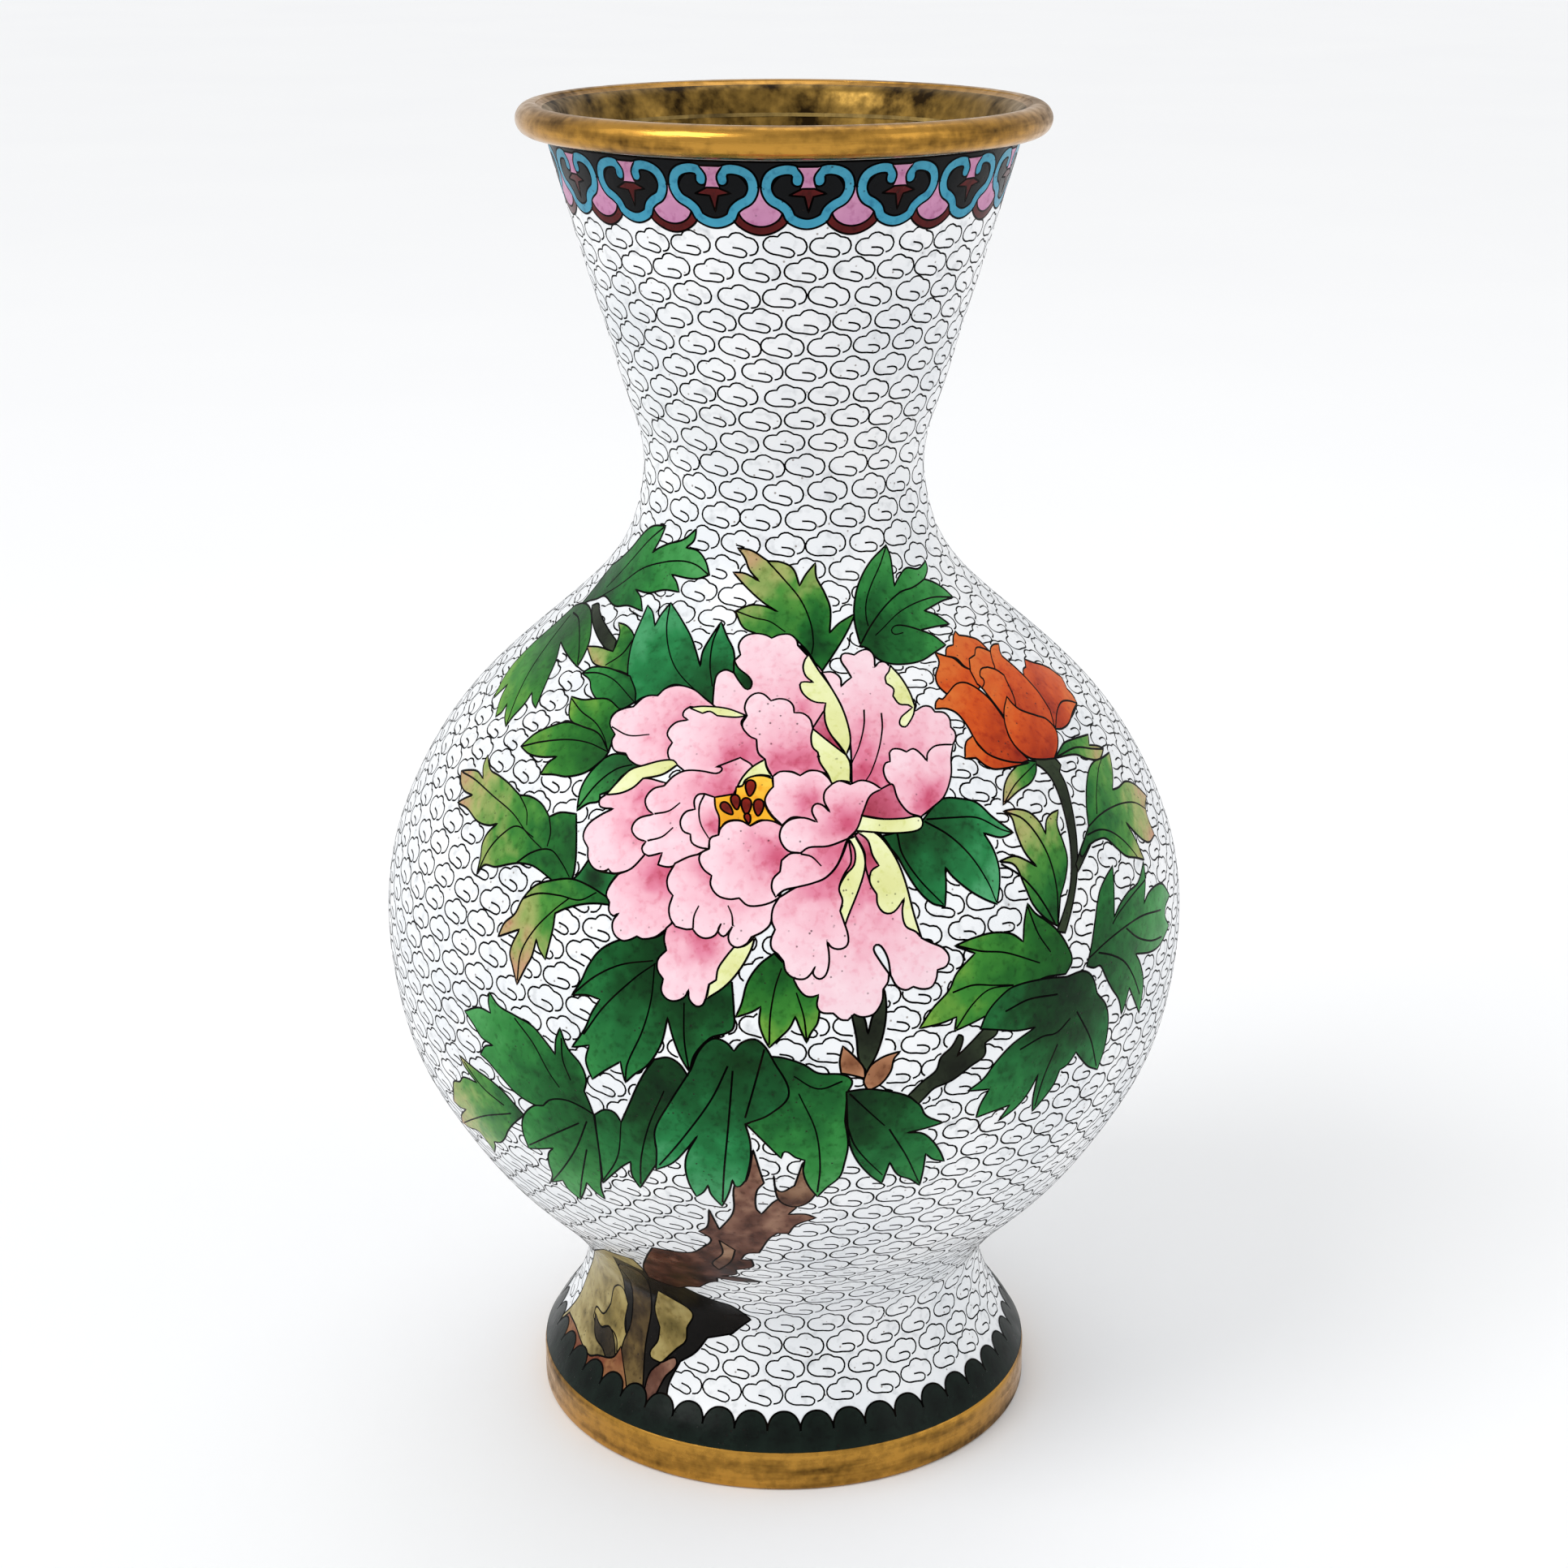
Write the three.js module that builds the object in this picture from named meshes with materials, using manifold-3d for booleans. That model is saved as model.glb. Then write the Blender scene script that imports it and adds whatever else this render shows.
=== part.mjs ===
// A cloisonne enamel vase: a baluster body raised from four copper sections, brazed end to end,
// with a gilt lip bead, a gilt foot ring and a recessed base plate. Enamel is fused on the outside
// of the copper, and the flower, the bud, the leaves, the branch and the rock are separate fillings
// set into the white ground. Millimetres, +Z up along the axis, the flower faces -Y, and the
// origin is the centre of the face that the vase stands on.

import * as THREE from 'three';
import { mergeVertices } from 'three/addons/utils/BufferGeometryUtils.js';
import Module from 'manifold-3d';

// Driving dimensions.
const HEIGHT = 305;
const ENAMEL = 1.2;
const COPPER = 1.5;
const GAP = 0.3;
const WIRE = 0.4;
const BRAZE = 1.2;
const ROUND = 32;
const OUTLINE_STEPS = 30;

const FOOT_RING_HEIGHT = 9.6;
const FOOT_RING_RADIUS = 58.8;
const FOOT_RING_WALL = 4;
const BORDER_TOP = 16.6;
const ANKLE = 36;
const GIRTH = 119;
const WAIST = 229;
const COLLAR_BOTTOM = 282;
const NECK_TOP = 297.9;
const BEAD_RADIUS = 3.3;
const BEAD_CENTRE_RADIUS = 54.2;
const BASE_RECESS = 6;
const BASE_PLATE = 1.5;

// The outer surface from the foot to the lip, as [height, radius].
const OUTLINE = [
  [FOOT_RING_HEIGHT, 58.4], [14, 55.8], [20, 51.6], [28, 48.5], [ANKLE, 46.9], [42, 50.4], [48, 54.6],
  [62, 67.7], [84, 82.9], [102, 89.4], [GIRTH, 91.7], [134, 90.8], [150, 86.2], [168, 75.8],
  [178, 67.2], [188, 56.3], [196, 47], [204, 39.3], [214, 33.5], [WAIST, 31.1], [244, 35],
  [260, 39.7], [276, 44.6], [NECK_TOP, 50.9],
];

// Every layer bends at the same heights, so that neighbouring layers keep their gap all the way.
const outlineCurve = new THREE.SplineCurve(OUTLINE.map(([z, r]) => new THREE.Vector2(r, z)));
const bends = outlineCurve.getPoints(OUTLINE_STEPS);

function radiusAt(z) {
  const next = Math.max(1, bends.findIndex((p) => p.y >= z - 1e-6));
  const above = bends[next];
  const below = bends[next - 1];
  return THREE.MathUtils.mapLinear(z, below.y, above.y, below.x, above.x);
}

// Materials.
const standard = (color, roughness, metalness) => () => (
  new THREE.MeshStandardMaterial({ color, roughness, metalness })
);
const gilt = standard(0xb8862f, 0.32, 1);
const bareCopper = standard(0x8a5a34, 0.5, 1);
const braze = standard(0xa88a4a, 0.5, 1);
const wire = standard(0xa8843c, 0.4, 1);
const whiteEnamel = standard(0xe4e5e6, 0.22, 0);
const collarEnamel = standard(0x2f6f8a, 0.22, 0);
const borderEnamel = standard(0x10201c, 0.2, 0);
const peonyEnamel = standard(0xf09ab0, 0.24, 0);
const budEnamel = standard(0xd85a1c, 0.24, 0);
const leafEnamel = standard(0x1f7a3a, 0.24, 0);
const branchEnamel = standard(0x54372b, 0.28, 0);
const rockEnamel = standard(0x9c8a56, 0.3, 0);

const model = new THREE.Group();

function addMesh(name, geometry, material) {
  const mesh = new THREE.Mesh(geometry, material());
  mesh.name = name;
  model.add(mesh);
}

// A closed profile of [radius, height] points, spun round the vertical axis.
function spin(profile) {
  const closesOnItself = profile[0][0] > 0;
  const points = closesOnItself ? [...profile, profile[0]] : profile;
  const geometry = new THREE.LatheGeometry(points.map(([r, z]) => new THREE.Vector2(r, z)), ROUND);
  return geometry.rotateX(Math.PI / 2);
}

function levels(bottom, top, count) {
  return Array.from({ length: count + 1 }, (_, i) => THREE.MathUtils.lerp(bottom, top, i / count));
}

// A layer of the wall between two depths below the outer surface.
function layer(bottom, top, depth, thickness) {
  const between = bends.map((p) => p.y).filter((z) => z > bottom + 1 && z < top - 1);
  const heights = [bottom, ...between, top];
  const outer = heights.map((z) => [radiusAt(z) - depth, z]);
  const inner = heights.map((z) => [radiusAt(z) - depth - thickness, z]).reverse();
  return [...outer, ...inner];
}

const sheetDepth = ENAMEL + GAP;
const copperLayer = (bottom, top) => spin(layer(bottom, top, sheetDepth, COPPER));
const enamelLayer = (bottom, top) => spin(layer(bottom, top, 0, ENAMEL));

// Copper sections of the body and the brazed joints between them.
function addBody() {
  const joint = BRAZE / 2;
  const clear = joint + GAP;
  addMesh('neck_shell', copperLayer(WAIST + clear, NECK_TOP - 1.1), bareCopper);
  addMesh('shoulder_shell', copperLayer(GIRTH + clear, WAIST - clear), bareCopper);
  addMesh('belly_shell', copperLayer(ANKLE + clear, GIRTH - clear), bareCopper);
  addMesh('foot_shell', copperLayer(FOOT_RING_HEIGHT + 1.5, ANKLE - clear), bareCopper);
  const seams = { waist_braze: WAIST, girth_braze: GIRTH, ankle_braze: ANKLE };
  for (const [name, z] of Object.entries(seams)) {
    addMesh(name, copperLayer(z - joint, z + joint), braze);
  }
}

// The gilt bead round the mouth, with the short flare that leads from it into the neck.
function addLip() {
  const centre = HEIGHT - BEAD_RADIUS;
  const bead = levels(-110, 110, 9).map((angle) => {
    const turn = THREE.MathUtils.degToRad(angle);
    return [BEAD_CENTRE_RADIUS + BEAD_RADIUS * Math.cos(turn), centre + BEAD_RADIUS * Math.sin(turn)];
  });
  const neckInside = radiusAt(NECK_TOP) - sheetDepth - COPPER;
  const seat = NECK_TOP + GAP;
  const flare = [[neckInside + 3, HEIGHT - 1.6], [neckInside + 1.2, HEIGHT - 3.6], [neckInside, seat]];
  addMesh('lip_ring', spin([...bead, ...flare, [neckInside + 2.6, seat]]), gilt);
  addMesh('lip_solder', copperLayer(NECK_TOP - 0.8, NECK_TOP), braze);
}

// The gilt foot ring, the base plate recessed inside it and the solder that holds them.
function addFoot() {
  const radius = FOOT_RING_RADIUS;
  const inside = radius - FOOT_RING_WALL;
  const height = FOOT_RING_HEIGHT;
  addMesh('foot_ring', spin([
    [radius - 1, 0], [radius - 0.3, 1.2], [radius, height * 0.4], [radius, height * 0.75],
    [radius - 0.5, height - GAP], [inside, height - GAP], [inside, 0],
  ]), gilt);
  addMesh('foot_solder', copperLayer(height, height + BRAZE), braze);
  const plateRadius = inside - BRAZE - 2 * GAP;
  const bottom = BASE_RECESS;
  const top = BASE_RECESS + BASE_PLATE;
  addMesh('base_plate', spin([[0, bottom], [plateRadius, bottom], [plateRadius, top], [0, top]]), gilt);
  const joint = plateRadius + GAP;
  const base = [[joint + BRAZE, bottom], [joint + BRAZE, top], [joint, top], [joint, bottom]];
  addMesh('base_solder', spin(base), braze);
}

// Boolean cuts with manifold-3d.
const wasm = await Module();
wasm.setup();

function toSolid(geometry) {
  const bare = geometry.clone();
  bare.deleteAttribute('normal');
  bare.deleteAttribute('uv');
  const merged = mergeVertices(bare, 1e-4);
  const vertProperties = new Float32Array(merged.attributes.position.array);
  const triVerts = new Uint32Array(merged.index.array);
  return new wasm.Manifold(new wasm.Mesh({ numProp: 3, vertProperties, triVerts }));
}

function toGeometry(solid) {
  const mesh = solid.getMesh();
  const geometry = new THREE.BufferGeometry();
  geometry.setAttribute('position', new THREE.BufferAttribute(new Float32Array(mesh.vertProperties), 3));
  geometry.setIndex(new THREE.BufferAttribute(new Uint32Array(mesh.triVerts), 1));
  geometry.computeVertexNormals();
  return geometry;
}

// A front-view outline of [x, z] points, carried from the axis out through the front of the wall.
function frontPrism(points) {
  const shape = new THREE.Shape(points.map(([x, z]) => new THREE.Vector2(x, z)));
  const geometry = new THREE.ExtrudeGeometry(shape, { depth: 120, bevelEnabled: false });
  return geometry.rotateX(Math.PI / 2);
}

// Outlines of the coloured fillings, in the front view. grow moves each one outwards.
function flowerOutline({ x, z, halfWidth, halfHeight, lobes }) {
  return (grow) => levels(0, 360, lobes * 4).slice(1).map((angle) => {
    const turn = THREE.MathUtils.degToRad(angle);
    const lobe = 1 + 0.07 * Math.cos(lobes * turn);
    const across = (halfWidth * lobe + grow) * Math.cos(turn);
    return [x + across, z + (halfHeight * lobe + grow) * Math.sin(turn)];
  });
}

function leafOutline({ x, z, length, width, angle }) {
  const turn = THREE.MathUtils.degToRad(angle);
  return (grow) => levels(0, 360, 10).slice(1).map((step) => {
    const around = THREE.MathUtils.degToRad(step);
    const along = (length / 2 + 2 * grow) * Math.cos(around);
    const across = (width / 2 + grow) * Math.sin(around) * (1 - 0.35 * Math.cos(around));
    const dx = along * Math.cos(turn) - across * Math.sin(turn);
    return [x + dx, z + along * Math.sin(turn) + across * Math.cos(turn)];
  });
}

// A band along a line of [x, z, half width] points, wider at its root.
function bandOutline(spine) {
  return (grow) => {
    const left = spine.map(([x, z, half]) => [x - half - grow, z]);
    const right = spine.map(([x, z, half]) => [x + half + grow, z]).reverse();
    left[0][1] -= grow;
    right.at(-1)[1] -= grow;
    left.at(-1)[1] += grow;
    right[0][1] += grow;
    return [...right, ...left].reverse();
  };
}

const LEAVES = [
  { x: -23, z: 212, length: 20, width: 9, angle: 20 },
  { x: -41, z: 193, length: 17, width: 9, angle: 230 },
  { x: -22, z: 203, length: 13, width: 7, angle: 60 },
  { x: -50, z: 175, length: 20, width: 10, angle: 200 },
  { x: -59, z: 157, length: 26, width: 12, angle: 178 },
  { x: -52, z: 140, length: 22, width: 9, angle: 225 },
  { x: -27, z: 126, length: 24, width: 10, angle: 190 },
  { x: -62, z: 112, length: 32, width: 15, angle: 155 },
  { x: -14, z: 108, length: 28, width: 16, angle: 205 },
  { x: -42, z: 96, length: 24, width: 13, angle: 240 },
  { x: 16, z: 105, length: 30, width: 15, angle: -30 },
  { x: 3, z: 210, length: 17, width: 10, angle: 105 },
  { x: 24, z: 207, length: 18, width: 10, angle: 15 },
  { x: 46, z: 158, length: 20, width: 11, angle: -25 },
  { x: 64, z: 156, length: 17, width: 8, angle: 100 },
  { x: 72, z: 134, length: 24, width: 11, angle: 10 },
  { x: 45, z: 136, length: 22, width: 10, angle: 190 },
  { x: 54, z: 114, length: 30, width: 15, angle: 215 },
];

const MOTIFS = [
  {
    name: 'peony_enamel',
    outline: flowerOutline({ x: -3, z: 166, halfWidth: 35, halfHeight: 31, lobes: 9 }),
    material: peonyEnamel,
  },
  {
    name: 'bud_enamel',
    outline: leafOutline({ x: 49, z: 183, length: 28, width: 19, angle: 155 }),
    material: budEnamel,
  },
  {
    name: 'branch_enamel',
    outline: bandOutline([[-24, 51, 6], [-16, 62, 5], [-9, 76, 3.5], [-4, 90, 2.5]]),
    material: branchEnamel,
  },
  {
    name: 'rock_enamel',
    outline: bandOutline([[-34, 20, 11], [-33, 32, 10], [-31, 44, 8]]),
    material: rockEnamel,
  },
  ...LEAVES.map((leaf, i) => ({
    name: `leaf_enamel_${i + 1}`,
    outline: leafOutline(leaf),
    material: leafEnamel,
  })),
];

// The enamel: a collar, the white ground, the dark border over the foot, the coloured fillings
// set into the ground and the two wires that run all the way round.
function addEnamel() {
  const wireClear = WIRE / 2 + GAP;
  const seam = GAP / 2;
  const groundBottom = BORDER_TOP + wireClear;
  const groundTop = COLLAR_BOTTOM - wireClear;
  const wholeGround = toSolid(enamelLayer(groundBottom, groundTop));
  const hole = MOTIFS.map((motif) => toSolid(frontPrism(motif.outline(GAP))));
  const allHoles = hole.reduce((sum, next) => sum.add(next));
  for (const motif of MOTIFS) {
    const filling = wholeGround.intersect(toSolid(frontPrism(motif.outline(0))));
    addMesh(motif.name, toGeometry(filling), motif.material);
  }
  const ground = {
    neck_enamel: enamelLayer(WAIST + seam, groundTop),
    shoulder_enamel: enamelLayer(GIRTH + seam, WAIST - seam),
    belly_enamel: enamelLayer(ANKLE + seam, GIRTH - seam),
    foot_enamel: enamelLayer(groundBottom, ANKLE - seam),
  };
  for (const [name, geometry] of Object.entries(ground)) {
    addMesh(name, toGeometry(toSolid(geometry).subtract(allHoles)), whiteEnamel);
  }
  addMesh('collar_enamel', enamelLayer(COLLAR_BOTTOM + wireClear, NECK_TOP), collarEnamel);
  addMesh('foot_border_enamel', enamelLayer(FOOT_RING_HEIGHT, BORDER_TOP - wireClear), borderEnamel);
  const rings = { collar_wire: COLLAR_BOTTOM, border_wire: BORDER_TOP };
  for (const [name, z] of Object.entries(rings)) {
    addMesh(name, enamelLayer(z - WIRE / 2, z + WIRE / 2), wire);
  }
}

addLip();
addBody();
addFoot();
addEnamel();

export default model;
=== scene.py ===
"""A cloisonne vase: enamel cells and flat wires on a turned copper body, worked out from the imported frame.

Places on the wall are written as "along,up" in millimetres: along is measured round the wall from the
front, positive to the right, and up is measured along the outer profile from the standing face.
"""

import math

import bpy
import numpy as np
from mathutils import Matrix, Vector, noise
from mathutils.geometry import delaunay_2d_cdt


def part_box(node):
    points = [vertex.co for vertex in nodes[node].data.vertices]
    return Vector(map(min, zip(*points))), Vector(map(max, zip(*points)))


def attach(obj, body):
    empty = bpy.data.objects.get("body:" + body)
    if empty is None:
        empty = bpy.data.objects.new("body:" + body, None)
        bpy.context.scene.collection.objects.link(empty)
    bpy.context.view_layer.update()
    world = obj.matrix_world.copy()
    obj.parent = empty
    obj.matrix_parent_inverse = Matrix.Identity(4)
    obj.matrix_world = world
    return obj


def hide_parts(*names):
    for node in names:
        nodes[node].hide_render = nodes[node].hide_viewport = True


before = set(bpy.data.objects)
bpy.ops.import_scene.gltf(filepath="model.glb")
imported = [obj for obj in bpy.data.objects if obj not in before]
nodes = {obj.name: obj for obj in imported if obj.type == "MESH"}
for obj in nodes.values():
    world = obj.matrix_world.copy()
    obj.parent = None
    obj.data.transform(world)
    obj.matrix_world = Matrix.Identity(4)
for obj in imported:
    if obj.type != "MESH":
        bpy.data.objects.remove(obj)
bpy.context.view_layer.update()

MM = 0.001            # all the lengths below are in millimetres

# The wall, from the polished face inwards.
SKIN = 1.5            # from the polished face in to the copper
ENAMEL = 1.2
COPPER = 1.5
SIDES = 288           # sides of every turned surface
ROW = 1.0             # height of one row of the turned surfaces
ANKLE = 36.0          # heights of the seams between the shells
GIRTH = 119.0
WAIST = 229.0
GIRTH_HEIGHT = 118.0  # a height whose distance up the profile is known
GIRTH_UP = 135.1
SHELLS = ("foot_shell", "belly_shell", "shoulder_shell", "neck_shell")

# The lip and the foot ring.
BEAD_RADIUS = 3.3
BEAD_TURN = 110       # degrees that the bead curls either way from its outermost line
LINING = 0.06         # how far the dull lining of the mouth stands proud of the lip
LINING_DEPTH = 0.3
LINING_START = 3      # points of the flare that the lining leaves bare beside the bead
FOOT_WALL = 4.0
FOOT_EASE = 0.9       # radius of the foot ring's lower edge
FOOT_GAP = 0.05       # between the foot ring and the enamel over it

# Cells and wires.
INLAY = 0.06          # how far a cell's face stands proud of the white ground
BORDER_INLAY = 0.12   # the border lies over the foot of the rock
CELL_SPACING = 1.3    # between the points inside the cells of the picture
COLLAR_SPACING = 1.2
BORDER_SPACING = 1.5
WIRE_PROUD = 0.05     # how far a wire's ridge stands proud of the enamel beside it
WIRE_SUNK = 0.005     # how far its edges are sunk in the enamel
WIRE_WIDTH = 0.48
VEIN_WIDTH = 0.46
VEIN_TIP = 0.7        # a vein that another cell cuts off tapers to this much of its width
OUTLINE_STEP = 0.7    # length of one step along a drawn outline
SHORT_CLOUD = 3       # a piece of a cloud or of a vein with no more steps than this is left out
SHORT_VEIN = 2

# The collar and the border, whose units are drawn flat at the radii given here.
COLLAR_HEADS = 16
COLLAR_RADIUS = 49.0
COLLAR_PITCH = 2 * math.pi * COLLAR_RADIUS / COLLAR_HEADS
COLLAR_TURN = 0.098   # the head nearest the front stands a quarter of a pitch to the right
SCROLL_HALF = 1.1     # half the width of the blue scroll
BORDER_SCALLOPS = 46
BORDER_RADIUS = 54.5
BORDER_PITCH = 2 * math.pi * BORDER_RADIUS / BORDER_SCALLOPS
BORDER_BOTTOM = 9.9
BORDER_NOTCH = 14.8
BORDER_TOP = 19.8

# The clouds in the white ground.
CLOUD_WIRE = 0.44     # width of the wire
CLOUD_PITCH = 9.6
CLOUD_ROW = 5.6
CLOUD_STEP = 0.9
CLOUD_FIRST = 23.5
CLOUD_LAST = 321.0
CLOUD_DRIFT = 0.035   # largest random shift along the row, as a part of the pitch
CLOUD_SHIFT = 0.25    # largest random shift up or down
CLOUD_TILT = 0.12     # largest random tilt, in radians
CLOUD_SIZES = (0.98, 1.1)

BACK_ALONG = -74.0    # the spray on the back is the front's, shifted this far

dice = np.random.default_rng(7)


# ---------------------------------------------------------------- the wall's profile

def shell_levels(name):
    """Heights and outer radii, in millimetres, of the rings of vertices of one layer of the wall."""
    rings = {}
    for vertex in nodes[name].data.vertices:
        x, y, z = vertex.co
        level = round(z / MM, 1)
        rings[level] = max(rings.get(level, 0.0), math.hypot(x, y) / MM)
    return sorted(rings.items())


def wall_rings():
    """The rings that all the layers share, which leaves out those where one shell meets the next."""
    lowest = shell_levels("foot_border_enamel")[0]
    highest = shell_levels("collar_enamel")[-1]
    rings = [ring for name in SHELLS for ring in shell_levels(name)[1:-1]]
    heights, radii = np.array(rings).T
    heights = np.concatenate([[lowest[0]], heights, [highest[0]]])
    return heights, np.concatenate([[lowest[1]], radii + SKIN, [highest[1]]])


def spline(x, y, at):
    """A natural cubic spline through the points, so that the wall's curvature has no breaks."""
    gap = np.diff(x)
    count = len(x)
    matrix = np.eye(count)
    right = np.zeros(count)
    for i in range(1, count - 1):
        matrix[i, i - 1:i + 2] = gap[i - 1], 2 * (gap[i - 1] + gap[i]), gap[i]
        right[i] = 6 * ((y[i + 1] - y[i]) / gap[i] - (y[i] - y[i - 1]) / gap[i - 1])
    bend = np.linalg.solve(matrix, right)
    i = np.clip(np.searchsorted(x, at) - 1, 0, count - 2)
    left, rest = at - x[i], x[i + 1] - at
    return ((bend[i] * rest**3 + bend[i + 1] * left**3) / (6 * gap[i])
            + (y[i] / gap[i] - bend[i] * gap[i] / 6) * rest
            + (y[i + 1] / gap[i] - bend[i + 1] * gap[i] / 6) * left)


ring_heights, ring_radii = wall_rings()
FOOT_TOP, NECK_TOP = ring_heights[0], ring_heights[-1]
HEIGHTS = np.linspace(FOOT_TOP, NECK_TOP, 1500)
RADII = spline(ring_heights, ring_radii, HEIGHTS)
UPS = np.concatenate([[0], np.cumsum(np.hypot(np.diff(HEIGHTS), np.diff(RADII)))])
UPS += GIRTH_UP - np.interp(GIRTH_HEIGHT, HEIGHTS, UPS)
TILTS = np.arctan2(-np.gradient(RADII, UPS), np.gradient(HEIGHTS, UPS))


def radius_at(height):
    """Radius of the polished face at a height."""
    return np.interp(height, HEIGHTS, RADII)


def place(along, up, lift=0.0, turn=0.0, round_radius=None):
    """Points in metres on the wall. round_radius fixes the scale of along, for bands that repeat."""
    radius = np.interp(up, UPS, RADII)
    tilt = np.interp(up, UPS, TILTS)
    angle = turn + along / (radius if round_radius is None else round_radius)
    reach = radius + lift * np.cos(tilt)
    height = np.interp(up, UPS, HEIGHTS) + lift * np.sin(tilt)
    return np.stack([reach * np.sin(angle), -reach * np.cos(angle), height], -1) * MM


# ---------------------------------------------------------------- outlines

def read_points(text):
    """Points and corner marks from "along,up" words, where ! marks a corner."""
    words = text.split()
    points = [[float(value) for value in word.rstrip("!").split(",")] for word in words]
    return np.array(points), [word.endswith("!") for word in words]


def curve(text, step=OUTLINE_STEP, closed=True):
    """Points along a smooth line through the given points, which breaks at the corners."""
    points, corners = read_points(text)
    count = len(points)
    pieces = []
    for i in range(count if closed else count - 1):
        j = (i + 1) % count
        side = points[j] - points[i]
        length = np.hypot(*side)
        ends = []
        for k in (i, j):
            free_end = not closed and k in (0, count - 1)
            if corners[k] or free_end:
                ends.append(side)
                continue
            way = points[(k + 1) % count] - points[k - 1]
            ends.append(way / np.hypot(*way) * length)
        t = np.linspace(0, 1, max(2, int(length / step) + 1), endpoint=False)[:, None]
        pieces.append(points[i] * (1 + 2 * t) * (1 - t)**2 + points[j] * t * t * (3 - 2 * t)
                      + ends[0] * t * (1 - t)**2 - ends[1] * t * t * (1 - t))
    if not closed:
        pieces.append(points[-1:])
    return np.concatenate(pieces)


def inside(points, outline):
    """Which points lie inside a closed outline."""
    x, y = points[:, 0, None], points[:, 1, None]
    x0, y0 = outline.T
    x1, y1 = np.roll(outline, -1, axis=0).T
    rise = np.where(y1 == y0, 1.0, y1 - y0)
    crosses = ((y0 > y) != (y1 > y)) & (x < x0 + (y - y0) * (x1 - x0) / rise)
    return crosses.sum(axis=1) % 2 == 1


def topmost(points, cells, first=0):
    """The number of the last cell that covers each point, or -1 where only the ground shows."""
    owner = np.full(len(points), -1)
    for number in range(first, len(cells)):
        low, high = cells[number]["low"], cells[number]["high"]
        near = np.flatnonzero(np.all((points > low) & (points < high), axis=1))
        if len(near):
            owner[near[inside(points[near], cells[number]["outline"])]] = number
    return owner


def runs(mask):
    """First and last index of each unbroken run of True values."""
    edges = np.flatnonzero(np.diff(np.concatenate([[0], mask.astype(int), [0]])))
    return [(start, end) for start, end in edges.reshape(-1, 2)]


# ---------------------------------------------------------------- colours of the cells

def linear(code):
    """A linear colour from a six-figure code."""
    values = np.array([int(code[i:i + 2], 16) for i in (0, 2, 4)]) / 255
    return np.where(values < 0.04045, values / 12.92, ((values + 0.055) / 1.055)**2.4)


# From the root of the cell, where the colour is deepest, out to its tip.
TINTS = {
    "petal": "C4506E DC7E98 ECACBC F1C0CC F3CCD6 F4D4DC",
    "yellow": "D8DA92 E4E8AA ECF0C0",
    "rose": "9A3448 BE5670 D08098",
    "heart": "DA8A12 F0AE28 F6C444",
    "stamen": "4E0A06 8A1E10",
    "dark": "04220C 0A3A16 1A6430 2C7E3E",
    "green": "0A3A16 165A26 2A7C36 469650",
    "blue": "06300F 0F4E24 1F7840 4C9E6A",
    "light": "0C4016 1C5E20 367E2C 70A03C",
    "brown": "0C3E18 1C6426 468634 98A45E BC9070",
    "husk": "6E4028 9C6A4A B88464",
    "stem": "10140A 20281A 303C26",
    "bud": "861C0A AE380F CA4E16 D2682A",
    "wood": "24120C 48281E 6E4A3C 8E6A56",
    "pale_wood": "4A3026 76543F 94745C",
    "bark": "17110A 3C2E1C 65522F",
    "rock": "5E5230 8E7E50 A89A6A 8A7A4E",
    "black": "060504 120E0A",
    "ochre": "5A4E26 8C7A46 A4945E",
    "hole": "16120C 3A3020",
    "red_clay": "6A3422 8A5E3C",
    "sky": "2C86A4 4496B2",
    "pink": "B878A0 CC92B2",
    "maroon": "3C0A0A 5C1414",
    "night": "020304 05070A",
    "bronze_green": "040A07 101C16",
}

# How far the noise shifts a tint along its row of colours.
MOTTLE = {"wood": 0.5, "pale_wood": 0.6, "bark": 0.7, "rock": 0.5, "ochre": 0.6, "red_clay": 0.8,
          "petal": 0.2, "bud": 0.25}
PLAIN_MOTTLE = 0.22


def tint_at(name, t):
    """The tint's linear colour at t, from 0 at the root of the cell to 1 at its tip."""
    stops = np.array([linear(code) for code in TINTS[name].split()])
    marks = np.linspace(0, 1, len(stops))
    return np.stack([np.interp(t, marks, stops[:, k]) for k in range(3)], -1)


def grain(points):
    """Smooth noise, about -1 to 1, at each point: a few millimetres from crest to crest."""
    return np.array([noise.noise((0.22 * x, 0.22 * y, 5.0)) + 0.6 * noise.noise((0.7 * x, 0.7 * y, 9.0))
                     for x, y in points])


def cell(piece, tint, text, root=None, veins="", step=OUTLINE_STEP):
    """One enamel cell: the piece it belongs to, its tint, outline, root and the wires laid inside it."""
    outline = curve(text, step)
    low, high = outline.min(axis=0), outline.max(axis=0)
    root = (low + high) / 2 if root is None else np.array(root, float)
    reach = np.hypot(*(outline - root).T).max()
    lines = [curve(line, step, closed=False) for line in veins.split("|") if line.strip()]
    return dict(piece=piece, tint=tint, outline=outline, low=low, high=high, root=root, reach=reach,
                veins=lines)


# ---------------------------------------------------------------- the flower picture, back to front

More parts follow.
